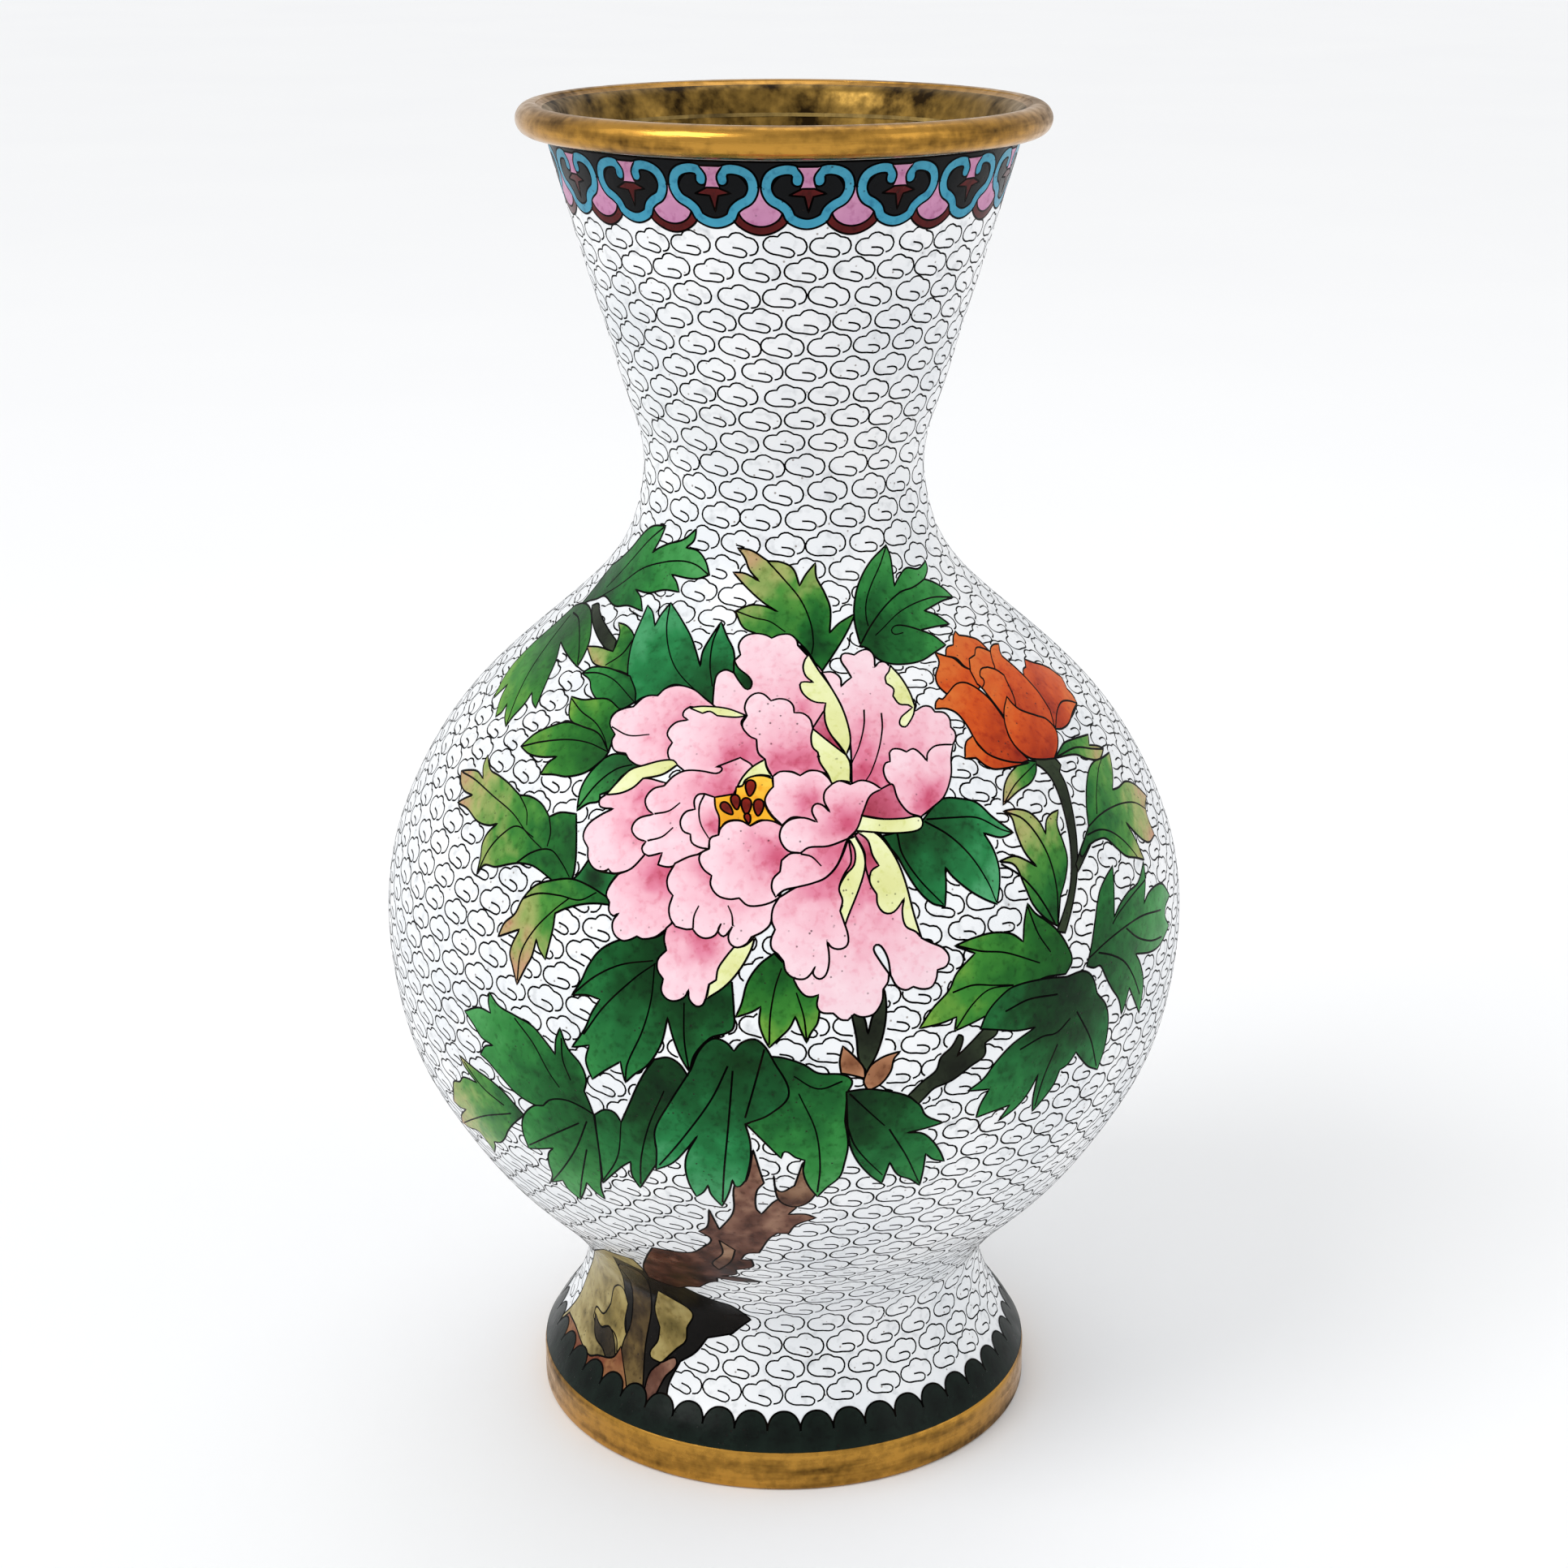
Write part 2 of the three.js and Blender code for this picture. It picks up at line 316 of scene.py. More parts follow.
def left_leaves():
    """Leaves behind the big flower on the left, from the top down."""
    return [
        cell("leaves_left", "green", "-62,229.6! -55,240 -50,243 -44,247 -39,251 -34.6,253.5 -29.4,254.6! "
             "-31,251.6 -33.6,248! -31.8,249.2 -28,251 -23.4,252.7 -20,255.4! -20.6,252.9 -22.8,251! "
             "-19.6,250.8 -17.6,249 -16.5,246! -20,244.7 -26.5,244.7! -25,243.4 -24,241.2! -28,241 "
             "-33,239.4 -37.6,239.2! -35.4,238 -34,235! -39,235.2 -44,234 -50,234.8 -54,233.1 -58,231.6",
             (-56, 231), "-29.8,254.3 -36,250 -43,244 -51,236.6 | -16.8,246.1 -20,247.8 -24,248 "
             "-30,246.6 -37,243.8 -45,238.4 -54,233"),
        cell("stems", "stem", "-54.8,231.4! -51.6,232.6 -49.8,231.3 -45,228.9 -40.6,226.6! -40.8,223.4! "
             "-44.4,224.4 -50.6,228"),
        cell("leaves_left", "light", "-66,228.4! -62,230 -58,230.8 -54.2,230.3 -51.5,228 -50,224.6 "
             "-50.4,221 -51.8,217.7! -55,218.6 -62.4,220.8! -61.1,217 -61.6,213 -63,205.3! -65,206.2 "
             "-66.4,208! -68,205 -71.4,201 -73,198.6! -74.8,200.2 -76,202.9! -77.2,200.6 -79.4,199! "
             "-80.7,203 -80.4,206! -85,201.6! -85.3,206 -84.4,209.4 -80,215 -73,221.6", (-63, 227),
             "-51.9,218.2 -53,221.6 -55.6,225.2 -59,227.3 -64,227.3 | -72.9,199 -72.5,206 -71.4,212 "
             "-68.6,219 -65,226.4"),
        cell("leaves_left", "brown", "-50.2,222.9! -46,223.8 -41,223.9! -40.2,226.5 -40,228.8 "
             "-41.1,230.7! -38.4,230.7 -36.3,229.8 -35.2,228.6! -35.9,224 -35,219.4! -38,219.8 "
             "-44,219.6 -46.6,219.9 -48.3,221.2", (-34, 224),
             "-35.3,228.4 -38,224 -42.6,220.2 | -36.1,224.4 -34.8,219"),
        cell("leaves_left", "blue", "-14.8,215! -20,218.4 -24,219 -27.7,215.8! -31,214.9 -33.3,213! "
             "-35.6,219 -35.9,225 -35.2,229 -34,232.6 -32.6,236.6! -30.9,235.4 -29.8,232.3! "
             "-28.4,235.2 -26,238.4! -23.4,235.6 -20.6,231.6 -19.2,228.2 -18,224.2! -17.5,228 "
             "-15.6,232 -13.5,235.6! -12.1,232 -10.8,229.2 -10.4,226.3! -10.6,223.4! -12.6,224 "
             "-14.5,221.5! -14.6,218.4", (-14, 214), "-26.2,238 -26.6,233 -25.8,228 -24,223.6 "
             "-21,220.1 -14.9,215.2 | -13.9,234.6 -15.3,230.6 -15.8,225 -15.2,219.6"),
        cell("leaves_left", "green", "-49.6,216.7! -46.6,218.8 -42,219.8 -38,219.6 -35,219.2! "
             "-33.2,216 -33,213.4! -36.9,211 -43.3,212 -45.6,213.8 -46.6,215.8", (-32, 213),
             "-49.4,216.8 -44,218 -39,217.3 -33.3,213.4"),
        cell("leaves_left", "light", "-51.3,210.8! -47.4,211 -43.2,212.2 -40,212.6 -36.9,211! "
             "-38.9,208.4 -37.5,205! -38.7,200.8! -42,204 -48,205 -50.6,206 -51.3,208.4", (-37, 202),
             "-51.1,210.4 -47.4,208.3 -43,206.7 -40.4,204.2 -38.8,200.8"),
        cell("leaves_left", "light", "-65,196.3! -61,200 -56,202.9 -51,205 -46,205 -41.6,204.3 "
             "-38.7,200.8! -39.7,199.1! -44,195.4 -49,193.4 -53,193 -56.9,192.2! -55.2,194.9 -52.6,197! "
             "-57,195.9 -61.6,195.5", (-38, 200), "-64.8,196.3 -58,199 -50,201.3 -44,201.8 -38.8,200.8"),
        cell("leaves_left", "green", "-45.7,186.8! -45.1,191.4 -43,195.4 -39.7,199.2! -37.2,200.6 "
             "-34,200.8 -30,199.1! -34.6,196.4 -37.6,192.6 -40.1,191.2! -40.3,189.8 -43,188.8",
             (-31, 199), "-45.4,187.6 -41,193.4 -36.4,197.4 -32,199.2"),
        cell("leaves_left", "brown", "-45.8,186.1! -50,185.6 -53,184.1! -55.4,186.2 -59,187 "
             "-62.5,186.5! -67,188 -71,188.6 -74.6,188.9 -77.3,191.2! -78,188.8 -76.8,186.4! -80,187.1 "
             "-84,186.3 -88,185! -86.4,182.9 -84,182 -79.8,182.2! -83,180.7 -86,179! -81,179.1 "
             "-76,177.8 -71.6,178.1 -68.6,179.2! -71.6,176.6 -73.1,174 -73.2,171.4 -74,167.4! "
             "-71.6,170 -68,170.5 -63.6,172.1 -60,173.1 -56,173.2 -50,171! -46.4,172.4 -45.4,176 "
             "-45.4,181", (-44, 178), "-88,185 -80,185.3 -72,184.2 -64,182.4 -58.6,179.2 -54.5,177.3 | "
             "-74,167.4 -70.6,173.4 -66,178 -62,180.2 -57,179 | -62.5,186.5 -59.8,184 -59.3,181 | "
             "-53,184.1 -52.3,181 -53,178 | -62,172.4 -57,176 -52,177.5 -49,175.6 -46.3,172.4"),
        cell("leaves_left", "dark", "-45.8,172.6! -44,174.6 -41.8,177.8! -40.4,175.7 -35.3,175.4! "
             "-37.4,172 -37,169.4!"),
        cell("leaves_left", "brown", "-36.8,169! -40,168.8 -43.6,168 -47.6,166.4 -50.1,165! "
             "-50.5,162 -52.4,155.1! -54.1,157 -54.8,158.9! -56,155 -57.6,152.4 -60.1,148.1! "
             "-61.3,151.6 -62.1,154.6 -59.5,159.8! -62,158.6 -65.8,156.8! -64,160 -61,162.6 -59,166 "
             "-55.6,169.5 -51,171.5 -46,172.7 -41.6,172 -37.4,170.4!", (-36, 170),
             "-60,149 -59,155 -55.5,160.5 -50.5,165.5 -46.5,168.8 | "
             "-61,165 -55,168 -49,168.8 -44,168.8 -40,171"),
    ]


def trunk_and_rock():
    """The old trunk rising from a hollow rock beside a dark bank."""
    return [
        cell("rock", "rock", "-80,17! -71,25 -66,33 -58,43 -50,54 -45,62! -36,64! -34,54 -40,42 -41,30 "
             "-40,17!", (-44, 20)),
        cell("rock", "black", "-43,58! -25,53 -20,50! -15,47.5 -12.5,46.6 -9.5,43.6 -7.6,41.4! "
             "-10,39 -12,37! -18,35! -21,31 -25,28! -28,22 -28.5,17! -36,17! -42,30"),
        cell("rock", "ochre", "-57,27! -56.2,29.4 -52,29.6 -49,33! -47.6,37.6 -44,39.4 -41.6,36! "
             "-42.6,31 -41,26 -44.6,22.6! -45.6,27 -50,27.6 -54,25.4"),
        cell("rock", "hole", "-56.4,28! -54.6,23.8 -50.4,22.6 -47.4,20.4 -45,21.4! -46,25.6 -48.4,28 "
             "-52.4,26.6"),
        cell("rock", "ochre", "-31,45.4! -27.1,43.8 -21.8,40.6 -23.3,36.1! -23.6,33 -26,30.6 "
             "-30.3,26.2! -33.6,27.1 -31.4,31 -30.9,34.2! -32.4,38 -31.9,41.3"),
        cell("rock", "wood", "-30.3,26.4! -26,28 -29.2,23.2 -32.4,17! -35.2,17! -33.6,23", (-35, 17)),
        cell("rock", "bark", "-44,17! -43.6,23 -42.6,27 -40.2,32.7 -40.2,43.3 -43,50! -41,54 -36,54 "
             "-33.6,50! -33.4,44 -33.6,37 -35.2,28 -35.2,17!", (-36, 50)),
        cell("rock", "red_clay", "-79,17! -60,16.8 -40,17! -41,20 -43.4,25.6! -46,22.4 -52,20.6 "
             "-56,19.2 -66,21 -74,20.6!"),
        cell("branch", "wood", "-6.4,118! -8,109 -10.3,107.8 -10.8,98 -13.9,90.6! -16,98.4! -16.5,91.5 "
             "-18.4,89! -15.8,86 -18,81.5 -21,78.2 -29.8,77.2! -31.5,71 -33.6,59 -33,52.5! -25,51.3 "
             "-22.5,53.3 -19.5,54.5! -17,59 -15,60.8! -15,63.5! -10,62.6 -4.7,63! -9,65.4 -14,65.6! "
             "-10.7,67.8 -10.6,71! -6.9,73.6 -7,77.3! -9.4,77.4! -8,80.6 -5.4,81.2! -3.2,87.8 "
             "-1.4,90.2! 1,90.1! 2.6,93.6 6.8,96.2! 4.6,97.7 0.9,97.8! 3.4,101.5! -0.6,103.6 -4.8,97.8! "
             "-5.9,100 -5.7,106 -4.2,108.6!", (-14, 58)),
        cell("branch", "pale_wood", "-2.2,111! -1,106 2.2,107.8! 3.9,114.6! 5.4,109.6 7,105.6! 5,102 "
             "2.4,100.6 0,101.6 -1.4,104", (1, 99)),
        cell("branch", "pale_wood", "-14,86! -13.4,80 -15.8,74 -14.4,70! -11.6,76 -10.6,82!", (-13, 70)),
    ]


def lower_leaves():
    """Leaves under the big flower, over the top of the trunk."""
    return [
        cell("stems", "stem", "13.8,149! 14.8,144 15.4,139 17,136.4! 19,140 20.5,145 21,150 20.6,153.8! "
             "19.4,150 18.3,148.8 17.2,144.6! 16,148.8"),
        cell("stems", "husk", "12,142.4! 11.4,139 11.7,136.4! 14.2,135.7 16.7,134.8! 16.4,137.3 "
             "14.2,140.2"),
        cell("stems", "husk", "24.1,140.2! 20.6,139.4 18,137.8 16.9,136! 16.4,134 17.4,131.9! "
             "20,133.2 22.1,136 22.7,138.6"),
        cell("leaves_left", "dark", "-24.5,165! -27,163.6 -30.6,163.5! -35.4,161.8 -39,159.4 "
             "-41.6,156 -43.4,152.4 -45.7,149! -42,149.7 -39,149.3! -41,146 -42.6,142.4 -45.9,137.5! "
             "-43.6,138.2 -41.7,138.8! -42.6,135 -41.2,131! -38.5,133.4 -34.5,136.4! -34.1,134 "
             "-33.5,131.7! -31.4,134 -28.8,136.2 -26.8,139 -25.2,142.4 -24,147.6! -22.9,143.4 "
             "-21.4,139.4 -19.5,136! -18.4,140 -15,144 -12,145.1 -10.3,146.4 -10.2,150 -10.6,156! "
             "-14,162", (-20, 160), "-45.5,149.2 -40,154 -34,157.3 -27,159 | -43,141 -38,148 -31,155 "
             "-26.5,158.5 | -33.5,132 -33,136 -29.5,144 -27.5,151 -26.7,158.5 | "
             "-19.6,136.5 -20.5,143 -20.5,151"),
        cell("leaves_left", "light", "-2,162! -5,159.6 -7.4,156 -8.6,151.6 -9.8,148.7! -6.4,150 "
             "-4.7,151.1! -5,147.6 -4.1,144.6 -3,142.4! -0.8,144.6 1.1,146.6 2.3,149.1! 3.3,146.4 "
             "4.6,143.4! 5.4,145.4 6.8,147.6 7.2,151 6.9,153.8! 2,158", (-1, 161),
             "-3,143 -2.8,149 -1.8,155 -0.5,159 | 4.6,144 4,149 2.5,154"),
        cell("leaves_left", "green", "-41.3,122.2! -42.2,125 -43.3,127.6! -42.7,130.6 -44,134 "
             "-47,137 -48.8,141.2! -49.9,138.4 -50.2,134.8! -52.6,137.2 -56,139.9 -61,141.1 -65.6,142 "
             "-68.4,144.2! -68.8,142 -68.2,139.6! -72,139.7 -77.1,137.3! -74,135 -71.6,132.8 "
             "-67.9,132! -70.6,130.9 -72.4,128.3! -70,127.4 -66,124.7 -62,122 -58,120.7 -54.4,120.3! "
             "-53,122.4 -49,123.8 -44.6,123.4", (-44, 124), "-61,140.5 -56,136 -52,130 -49.5,127 | "
             "-48.5,139 -48.3,134 -46.5,129.5"),
        cell("leaves_left", "brown", "-60,116.5! -62.6,118.6 -66,121 -70,122.6 -75,123.6 -80.6,125! "
             "-78.6,122.4 -74.8,119.9! -80,119.3 -82,117.2 -85,115.8 -86.2,112.4 -88,108! -84.6,107.6 "
             "-81.8,108.6! -86,104 -89,98.6! -84,100 -79,102 -76.6,100 -74.5,96! -72.8,100 "
             "-72.6,101.6 -70,103 -67.6,106 -66,109.2 -63.6,112.6", (-58, 116),
             "-87,100 -80,106 -73,111 -64,115.5 | -79,124 -73,119.5 -66,117"),
        cell("leaves_left", "green", "-41.2,122.2! -44,123.4 -48,124.2 -52,123.2 -54.2,121! -57,120 "
             "-60,116.5 -61,112 -59.9,106.2! -57,107.3 -52.4,109.4! -54,107 -54.4,103 -54,99 "
             "-55.1,95.2! -52.6,97 -51.2,98.1! -50,95 -47,92! -45.6,96 -44.4,100.4! -42.6,97.6 "
             "-40.2,95.4! -40.8,100 -40.4,104! -40.4,112", (-42, 122),
             "-54.5,96 -50,104 -46,112 -43,120 | -47,93 -45.5,102 -43.5,112 | -59.5,107.5 -53,113 -45,119"),
        cell("leaves_left", "dark", "-41,122.2! -38.6,124 -36.3,123.8 -34.8,121.6! -33,126 -31,131 "
             "-29,135 -27,138! -24,138.8 -21.6,137.6 -19.8,135! -24,128 -27.2,121! -27.2,117 "
             "-26.2,113.4! -28.4,109.2 -31.2,103! -32.9,107 -33,111.2! -35.2,109 -38,105.2 "
             "-40.2,101.8! -40.2,108", (-26, 132),
             "-31,104.5 -30.5,113 -28.5,122 -25,131 | -40,103 -36,112 -34.8,121.6"),
        cell("leaves_right", "green", "-7.7,124.4! -4,120 -0.6,115.8! 0.2,117.6 2.4,116! 4.3,115.2! "
             "4,112 5,108 7,104! 9,107 11.6,110 12.6,114 13.3,119 12.6,125! 13,131.8! 14,134.4 12,136 "
             "7,136.6 4,138.6 0,140.1 -2.6,140.4! -1,134 -3,128", (0, 138),
             "7,105.5 7.5,114 6.5,123 3,132 | 12,134.5 7,133 2,136"),
        cell("leaves_left", "blue", "-19.2,136.6! -17.4,141 -14.6,143.8 -12,143.3 -10.2,141.4! "
             "-8.6,143.3 -6,144.1 -4,142.7 -2.4,140! 1,132 -3,127 -8,124.5! -7,120 -7,115 -8,109.2! "
             "-9.8,107.1 -10.8,109.3! -11.6,105 -13.1,100! -15.4,104 -16,107.1! -17,104.6 -18.6,102.7! "
             "-20.1,107 -20.8,112 -20.2,116 -18,120.8! -20.4,117 -23.6,112.6 -27.3,110! -27,115.4 "
             "-27.2,121 -24,128", (-10, 140), "-13,101.5 -12.5,112 -11.5,124 -10.5,137 | "
             "-26.5,111.5 -21,120 -15,130 -11.5,138 | -4,142 -6,134 -8,126"),
        cell("leaves_right", "dark", "12.8,132! 17,132.3 22,131.2 26,129.5 28.6,127 30,124.2 33.9,121.7! "
             "30,121 25.8,120.5! 29.2,119.8 31.6,117.4 33.5,114 34.6,110.9! 32,112.1 30.2,114.1! "
             "29.8,109 29.2,104.4! 27,107 24.2,109 22.3,113.1! 21.5,110 20.7,106.9! 18,110 15,115 "
             "13.5,120", (13, 131), "13,124 15,118 20.8,109.5 | 22,122 26,114 29.2,105 | "
             "13.5,131.5 17,127.5 21,123"),
    ]


def top_leaves():
    """The two leaves above the big flower."""
    return [
        cell("leaves_top", "brown", "7.7,223.5! 5.2,228.6 2.6,232! -3,232.4 -6,233.4 -8.6,234.6 "
             "-10.4,238.4! -7,240 -4,239.8 -1.3,238.6! -4.6,240.9 -8,244 -11,247.1! -8.3,247 "
             "-5.2,245.4! -7.4,247.9 -8.4,250.4 -10,252.4! -6.9,252 -3.4,249.9! -0.6,249.7 1.9,248.3 "
             "3.3,244.5! 4.6,246.9 6.7,249.4! 6.9,246.3 8.6,242.9 9.9,239 9.7,233.2! 11.8,235.4 "
             "15.5,237.4! 13.4,233 10.6,228.2", (6, 229), "-3.6,250 0,246 3.5,241.4 5.6,236 6.2,231 "
             "5.8,228.2 | -10.2,238.4 -6,237 -3,236.3 0.3,233.8"),
        cell("leaves_top", "green", "16.4,230! 15.3,235.5 15.4,240 16.7,244.6 19.6,248.6 23.9,251.4! "
             "25,248.8 25.4,245.2 25.6,242.2! 27,243.9 29.6,245.5 33.6,244.6 37,245.6! 37.2,243.9 "
             "35.3,242! 30,238 20,230!", (18, 232),
             "23.8,251 22,247.5 19.6,243.6 18.2,240 18,236.4 18.6,233.4"),
        cell("leaves_top", "green", "16.4,229.6! 19,234 22.6,238 27,240.6 31,241 35.3,242! 38.4,240.7 "
             "42,238.5 45.1,235.7! 40,236 33.5,235.2! 37.2,233.4 41,230.4! 36,230.9 31.6,231! 35.2,229 "
             "38.5,226! 35,225 31,223.7 26,223.7 22.4,224.6 19.7,226.4 18.4,228.4", (18, 229),
             "31.6,231 28,232.6 25.2,233.2 24,232.3 24.7,231.2 27,231.2 | 44.5,235.9 36,237.6 27,236.4 "
             "20,231.6"),
    ]


def right_leaves():
    """Stems and leaves on the right, under and beside the bud."""
    return [
        cell("leaves_right", "blue", "19.8,185! 24,185.5 28.6,185.6! 29.2,187.4! 31.6,189.8 34,191.3 "
             "38,190.7 42,189.2 46,185.4 51.2,181.2! 47.8,180.9 43.4,182.6! 45.6,179 46.9,175 "
             "46.9,171.4 46.1,167.6! 43,169.2 39.4,171.6 35.6,175 34,177.1! 34.1,173 33.8,169.1! "
             "31,170.1 28,173 25.4,177 23.4,180.6", (26, 187), "30,187.5 36,187 42,186 48,182.5 "
             "51,181.2 | 29,187.5 35,183.5 40,178.5 44,172.5 46,168 | 23.5,185.3 24.5,181 28,175.5 "
             "33.5,169.5"),
        cell("stems", "stem", "26,129.8! 29,132.6 32,134.8 33,137.6 35.4,139.6 36.9,142! 37.9,141.4 "
             "37.6,139.4 36.6,137.2! 39.4,139.4 43.2,142.6! 46.2,141.2 43.2,139! 43.1,136.2 40,134.4 "
             "36,132 34.4,131.4! 31.6,130.6 29.6,128.8 28.2,127.4!"),
        cell("leaves_right", "light", "28.1,144.7! 31,148.6 34.6,151.9 36.4,155.2 40.6,158.6! "
             "35.9,160.8! 40,161.7 45,162 49.6,160.9 52.6,158.7! 53,162.6 54,166.2! 56,163.8 59,161.6 "
             "62.2,158.8 65,155 66.3,151.6 64.4,149.3! 58,150 50,148.4 43,145 36,143! 36.4,146! "
             "33,145.2", (64, 150), "35.4,151.3 40,152.1 45,151.2 50,150.3 | 36.3,143.4 40,148 "
             "44,150.5 50,150.2 | 36.4,160.8 42,158.8 48,157.4 57,153.4 | 54,165.6 56.6,159.6 60,155"),
        cell("leaves_right", "dark", "42,142.4! 43.6,145.6 46.4,148.2 50,149.9 58,149.8 64.6,148.6! "
             "70,148.4 73,146.2 74.6,142.2! 78,138.4 79.2,134 78.6,128 76.6,122.8! 73,125 70.6,127.5 "
             "68.4,130.2! 66,128 63.6,127.3! 62,124 58.6,120.6 56.4,118.8! 56.3,122.4 57.3,128.2! "
             "55,124.4 52,121.4 47.3,118.9! 50.1,122.4! 45,121.8 41.7,121.3! 42.6,124.4 44.6,127.8! "
             "39.4,128.5! 43,130.6 46,134 50,137.2 56,139.7! 51,140.1 46,141.4", (64, 146),
             "52,135.5 58,137 62,136.8 66,139 | 48,145 54,146.3 62,145.5 | 57,120 59,127 62.5,134 | "
             "76,124 73,132 68,140"),
        cell("leaves_right", "green", "71,149.2! 72.6,153 74.2,158 76.2,163 79,165.4 82.4,167! 81.9,162 "
             "81.2,156.7! 84,158.7 88,160.1 93,160.6 97.4,163.6! 97,160 95,155.5! 98,156.8 103,156.9 "
             "108,155.6 113,151.6! 108,149.6 111,145.4! 104,143.6 98,144 90,146.2! 92.4,143 94.2,138 "
             "93.2,131! 90.6,134.6 87.3,139.4! 86,136.4 84.5,134! 83,138 80,141.6 77.6,145 75.6,148 "
             "73.4,148.2", (72, 149), "71,150.5 78,152.5 86,153.5 94,153.3 105,151 | 75,151 80,149 "
             "85,146 89,141.5 92.5,136 | 97,160 90,159 83,157 80.5,155.5 | 86,153 91,149.5 98,146.5 "
             "105,145"),
        cell("stems", "stem", "57,194.4! 60.4,193.4 63.6,190.6 65.6,187 67,182 67.8,176 67.4,170 "
             "66,165.4 62,158.8! 64.4,157.9! 67,163 69.2,169 70.1,175 70,181 69.1,187 67.6,190.2! "
             "68.6,191.4! 66.6,193.4 62,194.8"),
        cell("stems", "stem", "69,170.8! 72,174.2 75.4,176.8! 76.4,174.4! 72.6,171.6 69.6,169.2!"),
        cell("leaves_right", "brown", "62.3,159.8! 59,162 55.6,165.6 53.4,170 51,174.6 47,176.1! "
             "51,176.4 54.2,174.9 57.1,173! 54,176.6 52,181 51,184.4 48.9,186.1! 52.4,185.8 56,184.4 "
             "58.8,181.8 60.4,178.9! 61,181.6 62.6,182.6 65.1,182.8! 64.2,180 65.6,176 66.4,172.6 "
             "65.4,169 63.4,165.6!", (63, 162), "49.5,185.8 54,183.5 58,179 61,173.5 62.5,167 "
             "62.3,160.5 | 47.5,175.5 52,172.5 56,168.5 59,164.5 61.5,160.5"),
        cell("leaves_right", "brown", "75,177! 75.4,181 77,185 79.6,187.6 83,188.4 87.6,187.9 "
             "92.8,187.6! 91,184 88.4,181! 92,180.5 97,180.3 103,178 110,173.6! 106,171.6 108,166! "
             "103,166 98,168.4 91.6,173.4! 94.4,169.8 98,163.8! 94,165.4 89,167.2 85,170 81,173 "
             "77.4,173.6 74.4,173.4! 71,172 73,175", (73, 174), "75,177 80,178 86,178 93,177 100,175 "
             "108,171 | 79,178.5 80.5,182.5 84,186.5 87.5,188 | 74,175.5 79,175.3 84,173.5 90,169.5 "
             "96.5,163.5"),
    ]


def bud():
    """The orange bud and the two sepals under it."""
    low, side = (58, 197), (66, 203)
    return [
        cell("bud_sepals", "brown", "49,187.4! 49.8,191.2 51.6,193.4 54,194.6! 57.2,195 60.2,194.2! "
             "59.6,192 57.5,190.3 53.6,189.4", (60, 194), "49.4,187.8 53,191 59.6,193.8"),
        cell("bud_sepals", "brown", "67,193.3! 71.4,195.2 76,195 84.2,193.8! 82.8,191.9! 87,190.6 "
             "90.2,189.2! 86,188.1 80,189.8 75,192", (68, 194), "68,193.4 76,193.2 84,190.8 89.6,189.2"),
        cell("bud_petals", "bud", "35,224.9! 37.6,223.6 40.2,222.4 42.8,219.8 45.4,218.4! 47,215 "
             "44,213 37,214.4! 34.8,217 34.4,219.4 35.8,222.4", low),
        cell("bud_petals", "bud", "38,223.4! 38.6,225.3 40.8,225.5! 41.4,227.4 42.4,228.4! 43.4,227.2! "
             "46.4,226.2 50,224.4 53,221! 49,218 44.8,218.6! 43,219.9 41,222.2", low),
        cell("bud_petals", "bud", "45,221.2! 47.2,221.6! 48.2,223 50.2,222.6 53.8,220.6! 53,219 "
             "53.4,217.2 55.8,214.9! 50,212 46,215! 44.6,218.4!", low),
        cell("bud_petals", "bud", "63.7,212.1! 64.4,213.7 66.2,213.9! 67.2,215.4! 71,213.6 75,212 "
             "79,210 82,207.8! 83.6,206.6 83.6,205.3! 83.2,204.2! 84.6,202.6 85.2,200.4! 78,199 70,199! "
             "66,206!", side),
        cell("bud_petals", "bud", "69.8,198.9! 72.6,201.8 76.4,203 80.6,202.2 85.1,200.4! 80.6,199.8 "
             "76.4,198.4 72.6,198.2", (69, 199)),
        cell("bud_petals", "bud", "53.2,217.4! 53,219.4 53.6,221.4 55.4,222 57.9,221.5! 57.2,220 "
             "57.4,218.8! 61,215.4 64.4,211.8! 67.6,207.6 69.9,203! 69.6,198.8! 62,202 54,206! "
             "52,212!", low),
        cell("bud_petals", "bud", "47.3,213.8! 48.3,214.8 48.2,215.7! 47.4,216.6 48.2,218 50.6,217.9! "
             "53.4,216.6 55.8,214.7! 57,207 52.5,206!", low),
        cell("bud_petals", "bud", "33.5,211.7! 33.8,213.2 34.7,214! 35.6,213.6 36.7,214.4! 40,216.4 "
             "43.5,215.6 48.6,211.2 52.5,205.3! 52.8,201.8 54.5,198.8 58,195! 54.8,195 52,195.7 "
             "47.2,198 43.5,202 41.4,206.2 39,209.6 36.4,211.2", low),
        cell("bud_petals", "bud", "42.6,203.7! 40.6,202.6 40,199.1! 42.8,198.7! 45.4,196.4 48,195.2 "
             "58,194.4! 52,196 46.6,198.6 43.8,201.4", low),
        cell("bud_petals", "bud", "54.8,210! 52.9,207.4 52.4,204 54,199.4 58,195.6 62,194.2 66.6,193.3! "
             "69,195.4 69.9,198.4 67.4,201.6 64,203.3 58.5,206 56.2,208", (62, 192)),
    ]


